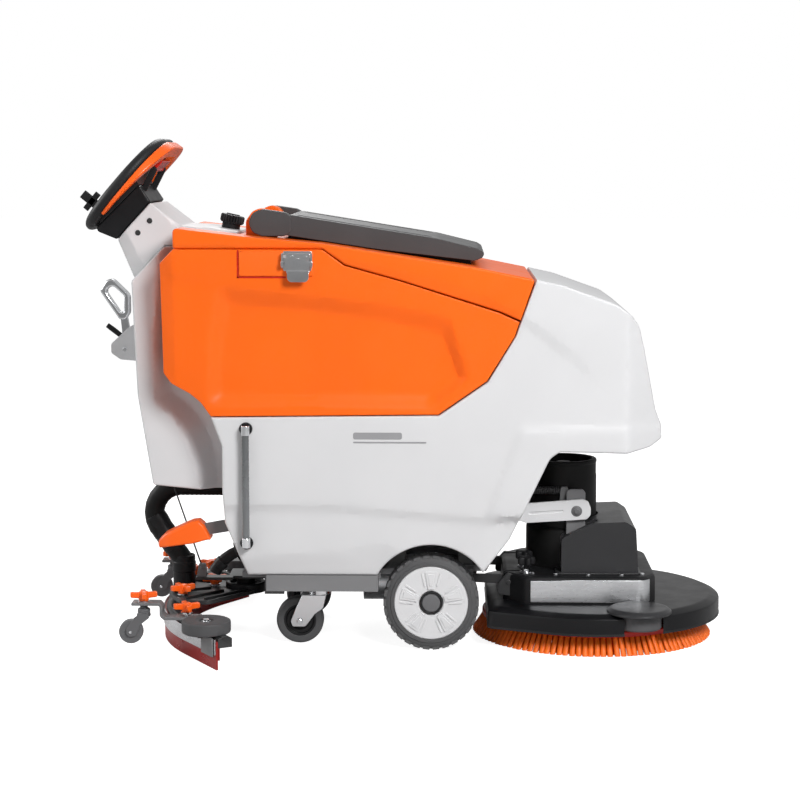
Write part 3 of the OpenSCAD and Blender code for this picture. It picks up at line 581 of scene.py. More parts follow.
def tank_shell():
    outline = rounded([(-452, 495), (14, 500), (113, 569), (169, 660), (179, 690), (137, 709), (-65, 773),
                       (-177, 804), (-222, 837), (-526, 837), (-555, 808), (-550, 583), (-534, 563),
                       (-495, 542), (-473, 524)],
                      [0, 0, 0, 0, 0, 0, 20, 14, 10, 0, 6, 10, 20, 20, 20])
    relief = Relief(
        [(-432, 760, 241), (-226, 740, 241), (-86, 724, 241), (38, 697, 241), (73, 573, 241),
         (3, 515, 241), (-459, 518, 241), (-452, 660, 241), (-432, 760, 241)],
        [(-413, 726, 227), (-226, 712, 227), (-86, 691, 227), (23, 666, 227), (57, 577, 227),
         (-3, 533, 227), (-434, 539, 228), (-429, 655, 227), (-413, 726, 227)],
        [(-447, 774, 242), (-528, 782, 242), (-528, 870, 242)],
        [(-447, 774, 242), (-528, 773, 238), (-526, 560, 238), (-500, 520, 238), (-470, 480, 238)],
        [(-470, 480, 240), (-464, 530, 241), (-461, 632, 241), (-447, 774, 242)],
        [(-580, 870, 218), (-580, 560, 214), (-540, 520, 214), (-500, 480, 216)],
        [(-528, 870, 242), (200, 870, 241), (240, 640, 241), (40, 460, 241), (-470, 460, 240)],
    )
    shell = moulded(dense(outline, 9, True), relief, 2.5, 8.0)
    middle = Shape().slab([(-430, 503), (10, 508), (106, 574), (158, 662), (166, 686), (131, 712),
                           (131, 740), (-66, 800), (-180, 860), (-430, 860)], -218, 218)
    wings = Shape().slab([(-518, 560), (-464, 528), (-464, 860), (-518, 860)], -232, -160).both()
    notch = Shape().box((-640, -152, 300), (-439, 152, 900))
    piece("tank_shell", shell, ORANGE, "chassis", replaces=["recovery_tank"],
          cuts=(notch, middle, wings))
    pad = Shape().slab(rounded([(-391, 783), (-240, 783), (-240, 834), (-391, 834)], [4, 4, 0, 0]),
                       -245.2, -239.5).both()
    piece("latch_pads", pad, ORANGE, "chassis", edge=1.2)
    # Thin dark red strips along the left and bottom edges of each raised pad: painted shadow cast by the pad.
    lines = Shape()
    lines.box((-395, -242.6, 779), (-392, -241, 836))
    lines.box((-395, -242.6, 779), (-296, -241, 782)).both()
    piece("latch_pad_painted_shadow", lines, RED_AND_SHADE, "chassis")


def cover_shell():
    outline = [(-526, 838.2), (-221, 838.2), (-175, 806), (-64, 775), (140, 711), (181, 693), (210, 777),
               (90, 801), (-221, 849), (-388, 864), (-526, 880)]
    outline = rounded(outline, [4, 0, 14, 20, 0, 0, 6, 60, 60, 0, 8])
    relief = Relief(
        [(-232, 838, 241), (-217, 840, 245), (-177, 817, 245), (-86, 801, 245), (7, 780, 245),
         (100, 747, 245), (181, 707, 245), (260, 670, 245)],
        [(-232, 838, 241), (-176, 797, 240), (-64, 768, 240), (139, 704, 240), (181, 686, 240),
         (260, 650, 240)],
        [(-600, 830, 241), (-526, 839, 241), (-232, 838, 241)],
        [(-600, 850, 244), (-526, 846, 244), (-240, 846, 244), (-217, 840, 245)],
        [(-600, 900, 244), (-380, 900, 245), (260, 830, 245)],
    )
    shell = moulded(dense(outline, 9, True), relief, 4.0, 7.0, soften=1)
    hollow = Shape().slab([(-379, 820), (-221, 820), (-176, 790), (-66, 760), (130, 696), (168, 688),
                           (194, 770), (88, 792), (-222, 840), (-379, 854)], -236, 236)
    wings = Shape().slab([(-520, 820), (-388, 820), (-388, 855), (-520, 869)], -236, -160).both()
    notch = Shape().box((-640, -152, 700), (-396, 152, 900))
    mouth = Shape().box((-290, -140, 690), (70, 140, 900))
    cap_bay = Shape().box((-400, -34, 700), (-386, 34, 900))
    piece("cover_shell", shell, ORANGE, "cover", replaces=["recovery_cover"],
          cuts=(hollow, wings, notch, mouth, cap_bay))
    knuckle = Shape().slab(rounded([(-386, 856), (-322, 846), (-322, 884), (-324, 892), (-336, 912),
                                    (-354, 919), (-372, 912), (-386, 892)],
                                   [0, 0, 4, 14, 20, 20, 20, 14]), -146.5, -112).both()
    piece("cover_knuckles", knuckle, ORANGE, "cover", edge=3, steps=3)


def lid_shell():
    side = [(-306, 864), (-115, 835), (87, 811), (104, 817), (109, 828), (96, 836), (10, 857), (-292, 905),
            (-306, 900)]
    shell = Shape().slab(rounded(side, [4, 60, 10, 8, 8, 14, 80, 14, 8]), -172, 172)
    hollow = Shape().slab([(-292, 850), (-115, 826), (85, 800), (92, 816), (8, 844), (-288, 890)], -162, 162)
    slope = math.atan2(905 - 857, -292 - 10)
    run = Vector((10 + 292, 0, 857 - 905)).normalized()
    lift = Vector((-run.z, 0, run.x))
    turn = Matrix((run, (0, 1, 0), lift)).transposed().to_4x4()
    place = Matrix.Translation((-280, -123, 902.5)) @ turn
    slots = Shape()
    plan = rounded([(0, -17), (284, -17), (284, 17), (0, 17)], [6, 14, 14, 6], 5)
    slots.prism(plan, -9, 20)
    slots = slots.moved(place).both()
    obj = piece("lid_shell", shell, LID, "lid", edge=5, steps=3, replaces=["lid"],
                cuts=(hollow, slots), angle=40)
    obj.modifiers["edges"].use_clamp_overlap = True
    ribs = Shape()
    for k in range(8):
        ribs.box((14 + k * 34, -16.6, -9), (34 + k * 34, 8, -4.5))
    ribs.box((4, 9, -9), (276, 12, -2.5))
    piece("lid_ribs", ribs.moved(place).both(), LID, "lid", edge=1)
    lug = rounded([(-350, 861), (-306, 861), (-290, 868), (-290, 903), (-302, 910), (-350, 917),
                   (-370, 909), (-378, 889), (-370, 869)], [0, 8, 10, 8, 20, 14, 18, 18, 18])
    piece("lid_lugs", Shape().slab(lug, -174, -148).both(), LID, "lid", edge=2, steps=3)
    pins = Shape().rod_y(-350, 889, 5, -149, -121).both()
    piece("lid_pins", pins, ZINC, "lid")


def column_shell():
    outline = rounded([(-586, 338), (-441, 324), (-441, 838), (-558, 838), (-626, 767), (-616, 527)],
                      [8, 0, 0, 6, 10, 80])
    relief = Relief(
        [(-560, 860, 150), (-569, 801, 150), (-580, 634, 150), (-581, 510, 150), (-548, 487, 150),
         (-527, 455, 150), (-511, 428, 150), (-489, 366, 150), (-487, 326, 150), (-487, 290, 150)],
        [(-535, 860, 122), (-546, 790, 120), (-557, 640, 116), (-552, 532, 112), (-522, 508, 108),
         (-486, 472, 104), (-468, 428, 104), (-458, 366, 104), (-455, 326, 104), (-455, 290, 104)],
        [(-700, 860, 150), (-700, 290, 150)],
        [(-400, 860, 120), (-400, 290, 100)],
    )
    shell = moulded(dense(outline, 9, True), relief, 4, 7.0)
    hollow = Shape().slab([(-579, 332), (-449, 320), (-449, 830), (-556, 830), (-618, 764), (-608, 527)],
                          -98, 98)
    piece("column_shell", shell, WHITE, "chassis", replaces=["rear_column"], cuts=(hollow,))


CAP = Matrix.Translation((-432, 0, 877)) @ Matrix.Rotation(math.radians(12), 4, "Y")


def neck_shell():
    outline = rounded([(-626, 769), (-559, 839), (-405, 839), (-405, 868), (-470, 877), (-522, 880),
                       (-588, 929), (-660, 851)], [4, 0, 0, 6, 20, 14, 5, 5])
    relief = Relief(
        [(-660, 897, 118), (-636, 860, 118), (-604, 798, 118), (-570, 733, 118)],
        [(-700, 870, 92), (-664, 850, 100), (-628, 768, 100), (-600, 733, 100)],
        [(-600, 935, 118), (-578, 921, 118), (-537, 878, 116), (-480, 858, 118), (-390, 850, 118)],
        [(-575, 960, 104), (-530, 905, 102), (-480, 890, 104), (-400, 878, 106)],
        [(-390, 800, 118), (-600, 780, 118)],
    )
    shell = moulded(dense(outline, 8, True), relief, 4, 6.0)
    hollow = Shape().slab([(-616, 776), (-556, 838), (-411, 838), (-411, 862), (-471, 871), (-524, 874),
                           (-589, 922), (-648, 849)], -92, 92)
    holes = Shape().post(0, 0, -30, 20, 20).moved(CAP)
    sockets = Shape()
    for x, z in ((-590, 891), (-615, 866)):
        sockets.rod_y(x, z, 7.2, -125, -115)
    piece("neck_shell", shell, WHITE, "chassis", replaces=["console_neck"],
          cuts=(hollow, holes, sockets.both()))
    cups = Shape()
    for x, z in ((-590, 891), (-615, 866)):
        cups.turned([(3.2, 0), (3.4, 2.6), (7.0, 2.8), (7.6, 3.4), (7.6, 2.0), (7.1, 0)],
                    (x, -115, z), (0, -1, 0), 32)
    piece("screw_cups", cups.both(), WHITE, "chassis")


def console_shell():
    outline = rounded([(-710, 871), (-663, 852), (-590, 931), (-613, 966)], [8, 3, 3, 5])
    relief = Relief(
        [(-760, 880, 100), (-640, 985, 103), (-585, 895, 103)],
        [(-617, 971, 105), (-591, 917, 105)],
        [(-606, 985, 101), (-570, 925, 101)],
        [(-760, 850, 98), (-640, 800, 98)],
    )
    shell = moulded(dense(outline, 6, True), relief, 3, 5.0, soften=1)
    hollow = Shape().slab([(-700, 872), (-664, 858), (-597, 930), (-615, 957)], -92, 92)
    piece("console_shell", shell, BLACK, "chassis", replaces=["console_housing"],
          cuts=(hollow,))


# ------------------------------------------------------------------ controls

TILT = math.radians(50.2)
SLOPE = Matrix.Translation((-653.6, 0, 957.7)) @ Matrix.Rotation(-TILT, 4, "Y")
RING = Matrix.Translation((-646.9, 0, 965.8)) @ Matrix.Rotation(math.radians(-49), 4, "Y")


def ring_line(half_l, half_w, r, step=7.0):
    """Rounded rectangle in the tilted plane: points [s, y]."""
    return dense(rounded([(-half_l, -half_w), (half_l, -half_w), (half_l, half_w), (-half_l, half_w)], r, 14),
                 step, True)


def handle():
    line = ring_line(110, 160, 100)
    ring = Shape()
    rings = []
    n = len(line)

    def outward(a, b):
        t = unit(np.array(b) - np.array(a))
        return np.array((t[1], -t[0]))

    for i, (s, y) in enumerate(line):
        out = outward(line[i - 1], line[(i + 1) % n])
        section = []
        for k in range(20):
            a = 2 * math.pi * k / 20
            grip = 13 + 0.5 * math.cos(3 * a)
            section.append((s + out[0] * grip * math.cos(a), y + out[1] * grip * math.cos(a),
                            grip * math.sin(a)))
        rings.append(section)
    ring.loft(rings, loop=True)
    piece("ring_grip", ring.moved(RING), SOFT_BLACK, "chassis", replaces=["handle_ring"])
    spokes = Shape()
    for s in (-40, 16):
        spokes.slab(rounded([(s - 9, -12), (s + 9, -12), (s + 7, 3), (s - 7, 3)], 3), -158, -98)
    piece("ring_spokes", spokes.both().moved(RING), BLACK, "chassis", edge=1.5)
    # Orange insert under the ring, deeper towards the top
    begin = -65
    first = next(i for i in range(n) if line[i][0] <= begin < line[(i + 1) % n][0])
    band = []
    for k in range(n):
        p = line[(first + 1 + k) % n]
        if p[0] <= begin:
            break
        band.append(p)
    rings = []
    for i, (s, y) in enumerate(band):
        out = outward(band[max(i - 1, 0)], band[min(i + 1, len(band) - 1)])
        up = (s - begin) / 175
        low = -15.5 - 14.5 * up ** 1.4
        wide = 12 + 6 * up
        section = rounded([(-9, low), (wide, low), (wide - 2, -9), (-10, -9)], [3, 4, 2, 2], 3)
        rings.append([(s + out[0] * u, y + out[1] * u, v) for u, v in section])
    insert = Shape().loft(rings)
    piece("ring_insert", insert.moved(RING), HOT, "chassis", edge=0.6,
          replaces=["handle_insert"])


def controls():
    # The paddle blade takes the dark red material: painted shade, standing for an orange paddle in the shadow under
    # the ring.
    paddle = Shape().slab(rounded([(66, -27), (97, -30), (98, -22), (90, -19), (66, -20)], [3, 3, 3, 3, 3]),
                          -62, 62)
    paddle.rod_y(72, -25, 4.5, -69, 69)
    piece("paddle_blade", paddle.moved(SLOPE), RED_AND_SHADE, "drive_paddle", edge=1.2,
          replaces=["drive_paddle"])
    ears = Shape().slab(rounded([(24, -44), (78, -32), (80, -18), (63, -21), (27, -30)], 4), -71, -64).both()
    piece("paddle_ears", ears.moved(SLOPE), BLACK, "chassis", edge=1)
    key = Shape().turned([(0, 4), (14, 4), (15, 5), (15, 15), (13.5, 17), (0, 17)], (-62, -72, 0), steps=40)
    key.prism(rounded([(-71.5, -76), (-52.5, -76), (-52.5, -68), (-71.5, -68)], 2.5), 15, 57)
    key.prism(rounded([(-84, -76), (-40, -76), (-40, -68), (-84, -68)], 2.5), 26, 38)
    piece("key_head", key.moved(SLOPE), BLACK, "start_key", edge=1, replaces=["start_key"])
    stop = Shape().turned([(0, -5), (10, -5), (10, 11), (12, 12), (17, 13), (17.5, 17), (15, 21), (9, 23),
                           (0, 23.5)], (-10, 70, 0), steps=48)
    piece("stop_head", stop.moved(SLOPE), RED_AND_SHADE, "emergency_stop",
          replaces=["emergency_stop"])
    for name, y in (("brush_button", -18), ("vacuum_button", 22)):
        top = Shape().turned([(0, -9), (10, -9), (10, 6.5), (9, 7.8), (6, 8), (4.5, 7.2), (0, 7)], (20, y, 0))
        piece(name + "_top", top.moved(SLOPE), GREY, name, replaces=[name])
        collar = Shape().turned([(10.3, 4), (14, 4), (14, 5.4), (13, 6.2), (10.3, 6.2)], (20, y, 0), caps=False)
        piece(name + "_collar", collar.moved(SLOPE), ZINC, "chassis")
    screen = Shape().prism(rounded([(-38, -48), (2, -48), (2, 32), (-38, 32)], 2), 1.2, 2.2)
    piece("display_screen", screen.moved(SLOPE), GLASS, "chassis", edge=0.3)
    marks = Shape()
    for k in range(6):
        marks.box((-32 + k * 5, -40, 2.3), (-29.5 + k * 5, -34 + 5 * k, 2.5))
    for k in range(3):
        marks.box((-26 + 9 * k, 10, 2.3), (-22 + 9 * k, 26, 2.5))
    piece("display_marks", marks.moved(SLOPE), HOT, "chassis")


def filler():
    cap = Shape()
    points = 144
    rings = []
    for r, z, wave in ((19.5, -10, 0), (19.5, 5.5, 0), (23, 6, 0), (23.5, 8, 1.2), (24, 9, 1.8),
                       (24, 21, 1.8), (22.5, 23.5, 1.0), (19, 24, 0), (16, 22.5, 0), (0.5, 22.5, 0)):
        ring = []
        for k in range(points):
            t = 2 * math.pi * k / points
            wide = r + wave * math.cos(24 * t)
            ring.append((wide * math.cos(t), wide * math.sin(t), z))
        rings.append(ring)
    cap.loft(rings)
    cap.prism(rounded([(-14, -4), (14, -4), (14, 4), (-14, 4)], 3), 22, 26)
    piece("filler_cap_top", cap.moved(CAP), BLACK, "filler_cap", replaces=["filler_cap"])


def latches():
    for side, name in ((RIGHT, "right"), (LEFT, "left")):
        lever = Shape()
        lever.turned([(2.9, 0), (3, 0.3), (3, 60.7), (2.9, 61)], (-302.5, -254, 823), (1, 0, 0), 20)
        plate = rounded([(-294, 790), (-246, 790), (-246, 829), (-294, 829)], [3, 3, 2, 2])
        lever.slab(plate, -259, -256)
        # Folded lower tab with a round end
        lever.slab(rounded([(-292, 772), (-248, 772), (-248, 794), (-292, 794)], [13, 13, 0, 0], 6), -262.5, -260)
        lever.slab(rounded([(-292, 786), (-248, 786), (-248, 796), (-292, 796)], 2), -262, -257)
        for x in (-285, -258):
            lever.slab(rounded([(x, 792), (x + 7, 792), (x + 7, 826), (x, 826)], 3), -261.5, -258.5)
        lever.slab(rounded([(-273, 800), (-267, 800), (-266, 820), (-274, 820)], 2), -263, -258.5)
        piece("latch_lever_" + name, lever.on_side(side), ZINC, "latch_" + name, edge=0.7,
              replaces=["latch_" + name])
    base = Shape()
    base.slab(rounded([(-301, 794), (-243, 794), (-243, 834), (-301, 834)], 3), -247.6, -245.3)
    for x in (-304, -245):
        base.slab(rounded([(x, 800), (x + 4, 800), (x + 4, 830), (x, 830)], 1), -257, -246)
        base.slab(rounded([(x - 1, 803), (x + 5, 803), (x + 5, 814), (x - 1, 814)], 2), -260, -255)
    piece("latch_base", base.both(), ZINC, "chassis", edge=0.6, replaces=["latch_plates"])


def gauge():
    tube = Shape()
    path = [(-380, -255, 236 + 231 * k / 60) for k in range(61)]
    tube.pipe(path, [7.2 + 0.25 * (k % 2) for k in range(61)], 24)
    piece("level_tube", tube, TUBE, "chassis", replaces=["sight_gauge"])
    ends = Shape()
    for z, way in ((233, 1), (470, -1)):
        ends.turned([(12.5, 0), (13.6, 1.2), (13.6, 3), (12.4, 4.2), (10, 4.2), (8.6, 2.4), (0, 2.4)],
                    (-380, -241, z), (0, -1, 0), 40)
    piece("tube_cups", ends, BLACK, "chassis")
    nuts = Shape()
    for z, way in ((233, 1), (470, -1)):
        nuts.turned([(0, 0), (6.5, 0), (6.5, 15), (8.2, 15), (8.2, 20), (0, 20)], (-380, -240, z), (0, -1, 0), 24)
        nuts.post(-380, -255, z - 10 + 2 * way, z + 10 + 2 * way, 8.6, 24)
    piece("tube_fittings", nuts, ZINC, "chassis", edge=0.3)


def lift_handle():
    outer = rounded([(-716, 738), (-674, 676), (-660, 676), (-651, 690), (-651, 730), (-686, 764), (-700, 762)],
                    [12, 8, 8, 12, 16, 14, 14], 5)
    inner = rounded([(-703, 738), (-672, 692), (-664, 692), (-662, 726), (-688, 750)], [8, 5, 5, 10, 10], 4)
    loop = Shape().slab(outer, -13, 13)
    hole = Shape().slab(inner, -20, 20)
    obj = piece("lift_lever_loop", loop, ZINC, "lift_lever", edge=3.5, steps=4, cuts=(hole,))
    arm = Shape()
    arm.slab(rounded([(-671, 604), (-655, 604), (-652, 650), (-659, 690), (-673, 690), (-669, 650)],
                     [7, 7, 20, 3, 3, 20]), -7, 7)
    arm.rod_y(-662, 612, 5, -19, 19)
    arm.rod_y(-662, 612, 11, -9, 9)
    piece("lift_lever_arm", arm, ZINC, "lift_lever", edge=1.5, replaces=["lift_lever"])
    grip = Shape().pipe([(-659, 0, 631), (-672, 0, 640), (-690, 0, 654), (-702, 0, 663)], [5, 5.5, 6, 5.5], 20)
    piece("lift_lever_rest", grip, BLACK, "chassis", edge=0.8)
    bracket = Shape()
    bracket.slab(rounded([(-627, 586), (-627, 662), (-650, 662), (-692, 624), (-692, 604), (-672, 590)],
                         [0, 0, 6, 8, 8, 8]), -17, -12).both()
    bracket.box((-630, -30, 582), (-626.2, 30, 664))
    piece("lever_bracket_plates", bracket, FRAME_WHITE, "chassis", edge=1,
          replaces=["lever_bracket"])


# ------------------------------------------------------------------ hose, cable, pedal

HOSE_BEND, HOSE_FOOT = 60, 40
HOSE_Z, HOSE_X = 314, -545
PORT_X, PORT_Z = -542, 131


def hose_path():
    drop = HOSE_Z - HOSE_BEND - (PORT_Z + 4)
    shift = PORT_X - HOSE_X - HOSE_FOOT
    turn = math.atan2(drop, -shift) - math.acos((HOSE_BEND + HOSE_FOOT) / math.hypot(drop, shift))
    path = [(x, 0, HOSE_Z) for x in (-449, -470, -500, -525)]
    cz = HOSE_Z - HOSE_BEND
    for k in range(25):
        a = math.pi / 2 + (math.pi / 2 + turn) * k / 24
        path.append((HOSE_X + HOSE_BEND * math.cos(a), 0, cz + HOSE_BEND * math.sin(a)))
    fx, fz = PORT_X - HOSE_FOOT, PORT_Z + 4
    for k in range(13):
        a = turn * (1 - k / 12)
        path.append((fx + HOSE_FOOT * math.cos(a), 0, fz + HOSE_FOOT * math.sin(a)))
    path.append((PORT_X, 0, PORT_Z + 0.5))
    return path


def hose():
    path = [np.array(p) for p in dense(hose_path(), 3)]
    split = min(range(len(path)), key=lambda i: abs(path[i][2] - 212) + (0 if i > len(path) * 0.4 else 999))

    def run(name, pts, a, b, start, end, cuff_at):
        radii = []
        for i, p in enumerate(pts):
            radii.append(21.6 + 0.35 * math.cos(i * math.pi / 1.5))
        tube = Shape().pipe(pts, radii, 32)
        obj = to_object(name, tube)
        obj.data.materials.append(RUBBER)
        for f in obj.data.polygons:
            f.use_smooth = True
        obj.data.set_sharp_from_angle(angle=math.radians(50))
        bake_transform(obj)
        return obj

    upper = run("suction_hose_upper", path[:split + 2], "chassis", "squeegee_arm", (-560, 0, 320),
                tuple(path[split]), None)
    run("suction_hose_lower", path[split - 1:], "squeegee_arm", "squeegee", tuple(path[split]),
        (PORT_X, 0, PORT_Z + 14), None)
    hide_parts("suction_hose")
    cuff = Shape()
    a, b = path[split - 8], path[split + 8]
    cuff.pipe([tuple(a + (b - a) * k / 8) for k in range(9)],
              [22.6, 23.6, 23.6, 23.0, 24.2, 24.2, 23.6, 23.6, 22.6], 32)
    piece("hose_cuff", cuff, BLACK, "squeegee_arm", edge=0.5)
    foot = Shape()
    foot.turned([(21, 0), (25.5, 0.2), (25.5, 20), (24.3, 22), (24.3, 34), (23, 36), (21, 36)],
                (PORT_X, 0, PORT_Z - 6), caps=False)
    piece("hose_foot_cuff", foot, BLACK, "squeegee", edge=0.4)
    low, high = np.array((-497, -45, 142.0)), np.array((-560, -45, 330.0))
    cable = Shape().pipe([tuple(low + (high - low) * k / 40) for k in range(41)], 1.7, 12)
    wire = to_object("lift_cable_wire", cable)
    wire.data.materials.append(FRAME_BLACK)
    for f in wire.data.polygons:
        f.use_smooth = True
    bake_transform(wire)
    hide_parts("lift_cable")
    clevis = Shape().slab(rounded([(-509, 118), (-487, 118), (-489, 150), (-504, 150)], 4), -52, -47)
    clevis.slab(rounded([(-509, 118), (-487, 118), (-489, 150), (-504, 150)], 4), -43, -38)
    clevis.rod_y(-497, 142, 4, -54, -36)
    piece("cable_clevis", clevis, FRAME_GREY, "squeegee_arm", edge=0.8)


def pedal():
    pad = Shape()
    stations = [(-572, 216, 224, 9), (-568, 212, 230, 22), (-556, 214, 242, 28), (-538, 217, 251, 30),
                (-516, 220, 261, 30), (-500, 222, 268, 30), (-486, 225, 270, 29), (-476, 228, 262, 28),
                (-466, 230, 243, 27), (-461, 230, 234, 26)]
    rings = []
    for x, low, high, half in stations:
        section = rounded([(-half, low), (half, low), (half - 5, high), (-half + 5, high)], [4, 4, 8, 8], 4)
        rings.append([(x, -172 + u, v) for u, v in section])
    pad.loft(rings)
    piece("pedal_pad", pad, HOT, "pedal", edge=1.5, replaces=["deck_pedal"], sharp=50)
    arm = Shape().slab(rounded([(-500, 232), (-411, 247), (-402, 256), (-411, 266), (-436, 268),
                                (-490, 258)], [3, 6, 8, 6, 12, 4]), -177, -167)
    arm.rod_y(-411, 256, 5, -214, -130)
    piece("pedal_arm", arm, FRAME_GREY, "pedal", edge=1.2)


def solution_parts():
    tilt = Matrix.Translation((-393.7, -100, 195)) @ Matrix.Rotation(math.radians(-112.5), 4, "Y")
    disc = Shape().turned([(0, 0.3), (24, 0.3), (25, 2), (25, 8), (23.5, 9), (23.5, 13), (25, 14), (25, 20),
                           (22, 23), (13, 23), (13, 26), (0, 26)], (0, 0, 0), steps=48)
    for k in range(18):
        a = 2 * math.pi * k / 18
        disc.box((25 * math.cos(a) - 1.6, 25 * math.sin(a) - 1.6, 14.5),
                 (25 * math.cos(a) + 1.6, 25 * math.sin(a) + 1.6, 19.5))
    piece("filter_bowl", disc.moved(tilt), BLACK, "chassis", edge=0.6,
          replaces=["solution_filter"])
    elbow = Shape().pipe([(-415, -100, 187), (-426, -100, 182), (-440, -100, 172), (-452, -100, 160),
                          (-460, -100, 150), (-464, -100, 142)], [12, 12, 12.5, 12.5, 13.5, 13.5], 24)
    elbow.pipe([(-444, -100, 167), (-455, -100, 156)], [15, 15], 24)
    piece("filter_elbow", elbow, BLACK, "chassis", edge=1)


# ------------------------------------------------------------------ wheels

def wheel(side, name):
    y = -205
    tread = Shape()
    inner, outer = 77.6, 100.0
    profile = [(inner, 0), (inner + 1, -0.1), (84.5, -0.2), (85.5, 1.6), (89, 2.0), (95, 3.6), (98.4, 6.5),
               (99.2, 10), (99.4, 25), (99.2, 40), (98.4, 43.5), (95, 46.4), (89, 48), (inner, 48)]
    tread.turned([(r, 0.3 + h) for r, h in profile], (0, y, 100), (0, 1, 0), 120, caps=False)
    lugs = 30
    for k in range(lugs):
        for row in (0, 1):
            a = 2 * math.pi * (k + 0.5 * row) / lugs
            w = 2 * math.pi / lugs * 0.37
            u0, u1 = (2.6, 24) if row == 0 else (26, 47)
            ring = []
            for r in (94, outer):
                shrink = 0.92 if r == outer else 1.0
                ring.append([(r * math.cos(a + s * w * shrink), y + u, 100 + r * math.sin(a + s * w * shrink))
                             for s, u in ((-1, u0), (1, u0), (1, u1), (-1, u1))])
            tread.loft(ring)
    body = "wheel_" + name
    piece("tyre_" + name, tread.on_side(side), TYRE, body, edge=0.5,
          replaces=["drive_tyre_" + name])
    rim = Shape()
    rim.turned([(10.1, 6), (23, 6), (24.5, 5), (26, 2.4), (31, 2.0), (66, 1.2), (71, 0.6), (75.5, 0.8),
                (77.2, 2.2), (77.2, 46), (71, 46), (71, 9), (26, 9), (26, 46), (10.1, 46)],
               (0, y, 100), (0, 1, 0), 96, caps=False)
    for k in range(5):
        a = math.radians(90 + 72 * k)
        turn = Matrix.Translation((0, y, 100)) @ Matrix.Rotation(-a, 4, "Y")
        spoke = Shape()

        def plate(outline, low, high):
            ring = [[(p[0], h, p[1]) for p in rounded(outline, 1.2, 3)] for h in (low, high)]
            spoke.loft(ring)

        plate([(29, -6.5), (65, -12.5), (66.5, -11), (66.5, 11), (65, 12.5), (29, 6.5)], 2.5, -0.9)
        plate([(36, -3.2), (61, -7), (61, 7), (36, 3.2)], 0, -2.1)
        for s in (-1, 1):
            outline = [(34, s * 14), (62, s * 21), (64, s * 17.5), (36, s * 10.8)]
            plate(outline if s > 0 else outline[::-1], 2.5, -0.2)
        rim.add(*[spoke.moved(turn).verts, spoke.moved(turn).faces])
    piece("rim_" + name, rim.on_side(side), RIM, body, edge=0.5,
          replaces=["drive_rim_" + name])
    ring = Shape().turned([(19.4, 6), (24, 6), (24, 0.6), (23, -0.8), (20.5, -0.8), (19.4, 0)],
                          (0, y, 100), (0, 1, 0), 64, caps=False)
    piece("hub_ring_" + name, ring.on_side(side), BLACK, body)
    cap = Shape().turned([(0, -1.6), (12, -1.4), (17.5, -0.6), (19, 0.8), (19, 6), (0, 6)],
                         (0, y, 100), (0, 1, 0), 64)
    piece("hub_cap_" + name, cap.on_side(side), GREY, body)


def caster(side, name):
    x, y = -278, -135
    tyre = Shape().turned([(34, -14), (40, -15), (46, -14.5), (49, -12), (50, -8), (50, 8), (49, 12),
                           (46, 14.5), (40, 15), (34, 14)], (x, y, 50), (0, 1, 0), 72, caps=False)
    piece("caster_tyre_" + name, tyre.on_side(side), GREY_RUBBER, "caster_wheel_" + name,
          edge=0.4, replaces=["caster_wheel_" + name])
    core = Shape().turned([(5, -16), (13, -16), (15, -13), (20, -11), (21, -13), (27, -13.5), (28, -11),
                           (30, -12.5), (34.2, -12.5), (34.2, 12.5), (30, 12.5), (28, 11), (27, 13.5),
                           (21, 13), (20, 11), (15, 13), (13, 16), (5, 16)], (x, y, 50), (0, 1, 0), 64,
                          caps=False)
    piece("caster_hub_" + name, core.on_side(side), BLACK, "caster_wheel_" + name)
    axle = Shape().rod_y(x, 50, 4.9, y - 26, y + 26, 32)
    axle.turned([(0, -28.6), (5, -28.2), (7, -26.5), (7, -24.2), (0, -24.2)], (x, y, 50), (0, 1, 0), 6)
    piece("caster_axle_" + name, axle.on_side(side), ZINC, "caster_wheel_" + name, edge=0.3)
    plates = Shape()
    leg = rounded([(-297, 50), (-293, 38), (-266, 38), (-246, 65), (-228, 78), (-222, 106), (-272, 106),
                   (-287, 75)], [4, 5, 8, 6, 8, 3, 4, 6], 5)
    for s in (-1, 1):
        plates.slab(leg, y + s * 22 - 2, y + s * 22 + 2)
    bore = Shape().rod_y(x, 50, 5.1, y - 40, y + 40, 32)
    piece("caster_fork_plates_" + name, plates.on_side(side), ZINC, "caster_" + name, edge=1,
          cuts=(bore.on_side(side),), replaces=["caster_fork_" + name])
    head = Shape().box((-273, y - 23, 102), (-223, y + 23, 106.5))
    head.post(-236, y, 106, 121.5, 24)
    head.post(-236, y, 120, 160, 8)
    piece("caster_fork_head_" + name, head.on_side(side), ZINC, "caster_" + name, edge=1.6, steps=3)


def guide(side, name):
    x, y, z = -624, -228, 43
    tyre = Shape().turned([(3.1, -9), (23.5, -9), (25, -7), (25, 7), (23.5, 9), (3.1, 9)], (x, y, z),
                          (0, 1, 0), 48, caps=False)
    piece("guide_tyre_" + name, tyre.on_side(side), GREY, "guide_wheel_" + name,
          edge=0.6, replaces=["guide_wheel_" + name])
    pin = Shape().rod_y(x, z, 3, y - 15.5, y + 15.5, 20)
    piece("guide_pin_" + name, pin.on_side(side), ZINC, "guide_wheel_" + name)
    fork = Shape()
    leg = rounded([(-608, 84), (-588, 84), (-584, 74), (-602, 60), (-614, 34), (-632, 34), (-633, 50),
                   (-622, 66), (-612, 74)], [3, 3, 4, 12, 8, 9, 10, 8, 4])
    for s in (-1, 1):
        fork.slab(leg[::-1], y + s * 12.5 - 1.6, y + s * 12.5 + 1.6)
    fork.box((-610, y - 14, 77), (-587, y + 14, 82))
    fork.post(-597, y, 80, 92, 13, edge=2)
    fork.post(-597, y, 91, 98, 8, edge=1)
    fork.post(-597, y, 97, 107.5, 4.9)
    piece("guide_fork_plates_" + name, fork.on_side(side), GREY, "guide_fork_" + name,
          edge=1, replaces=["guide_fork_" + name])


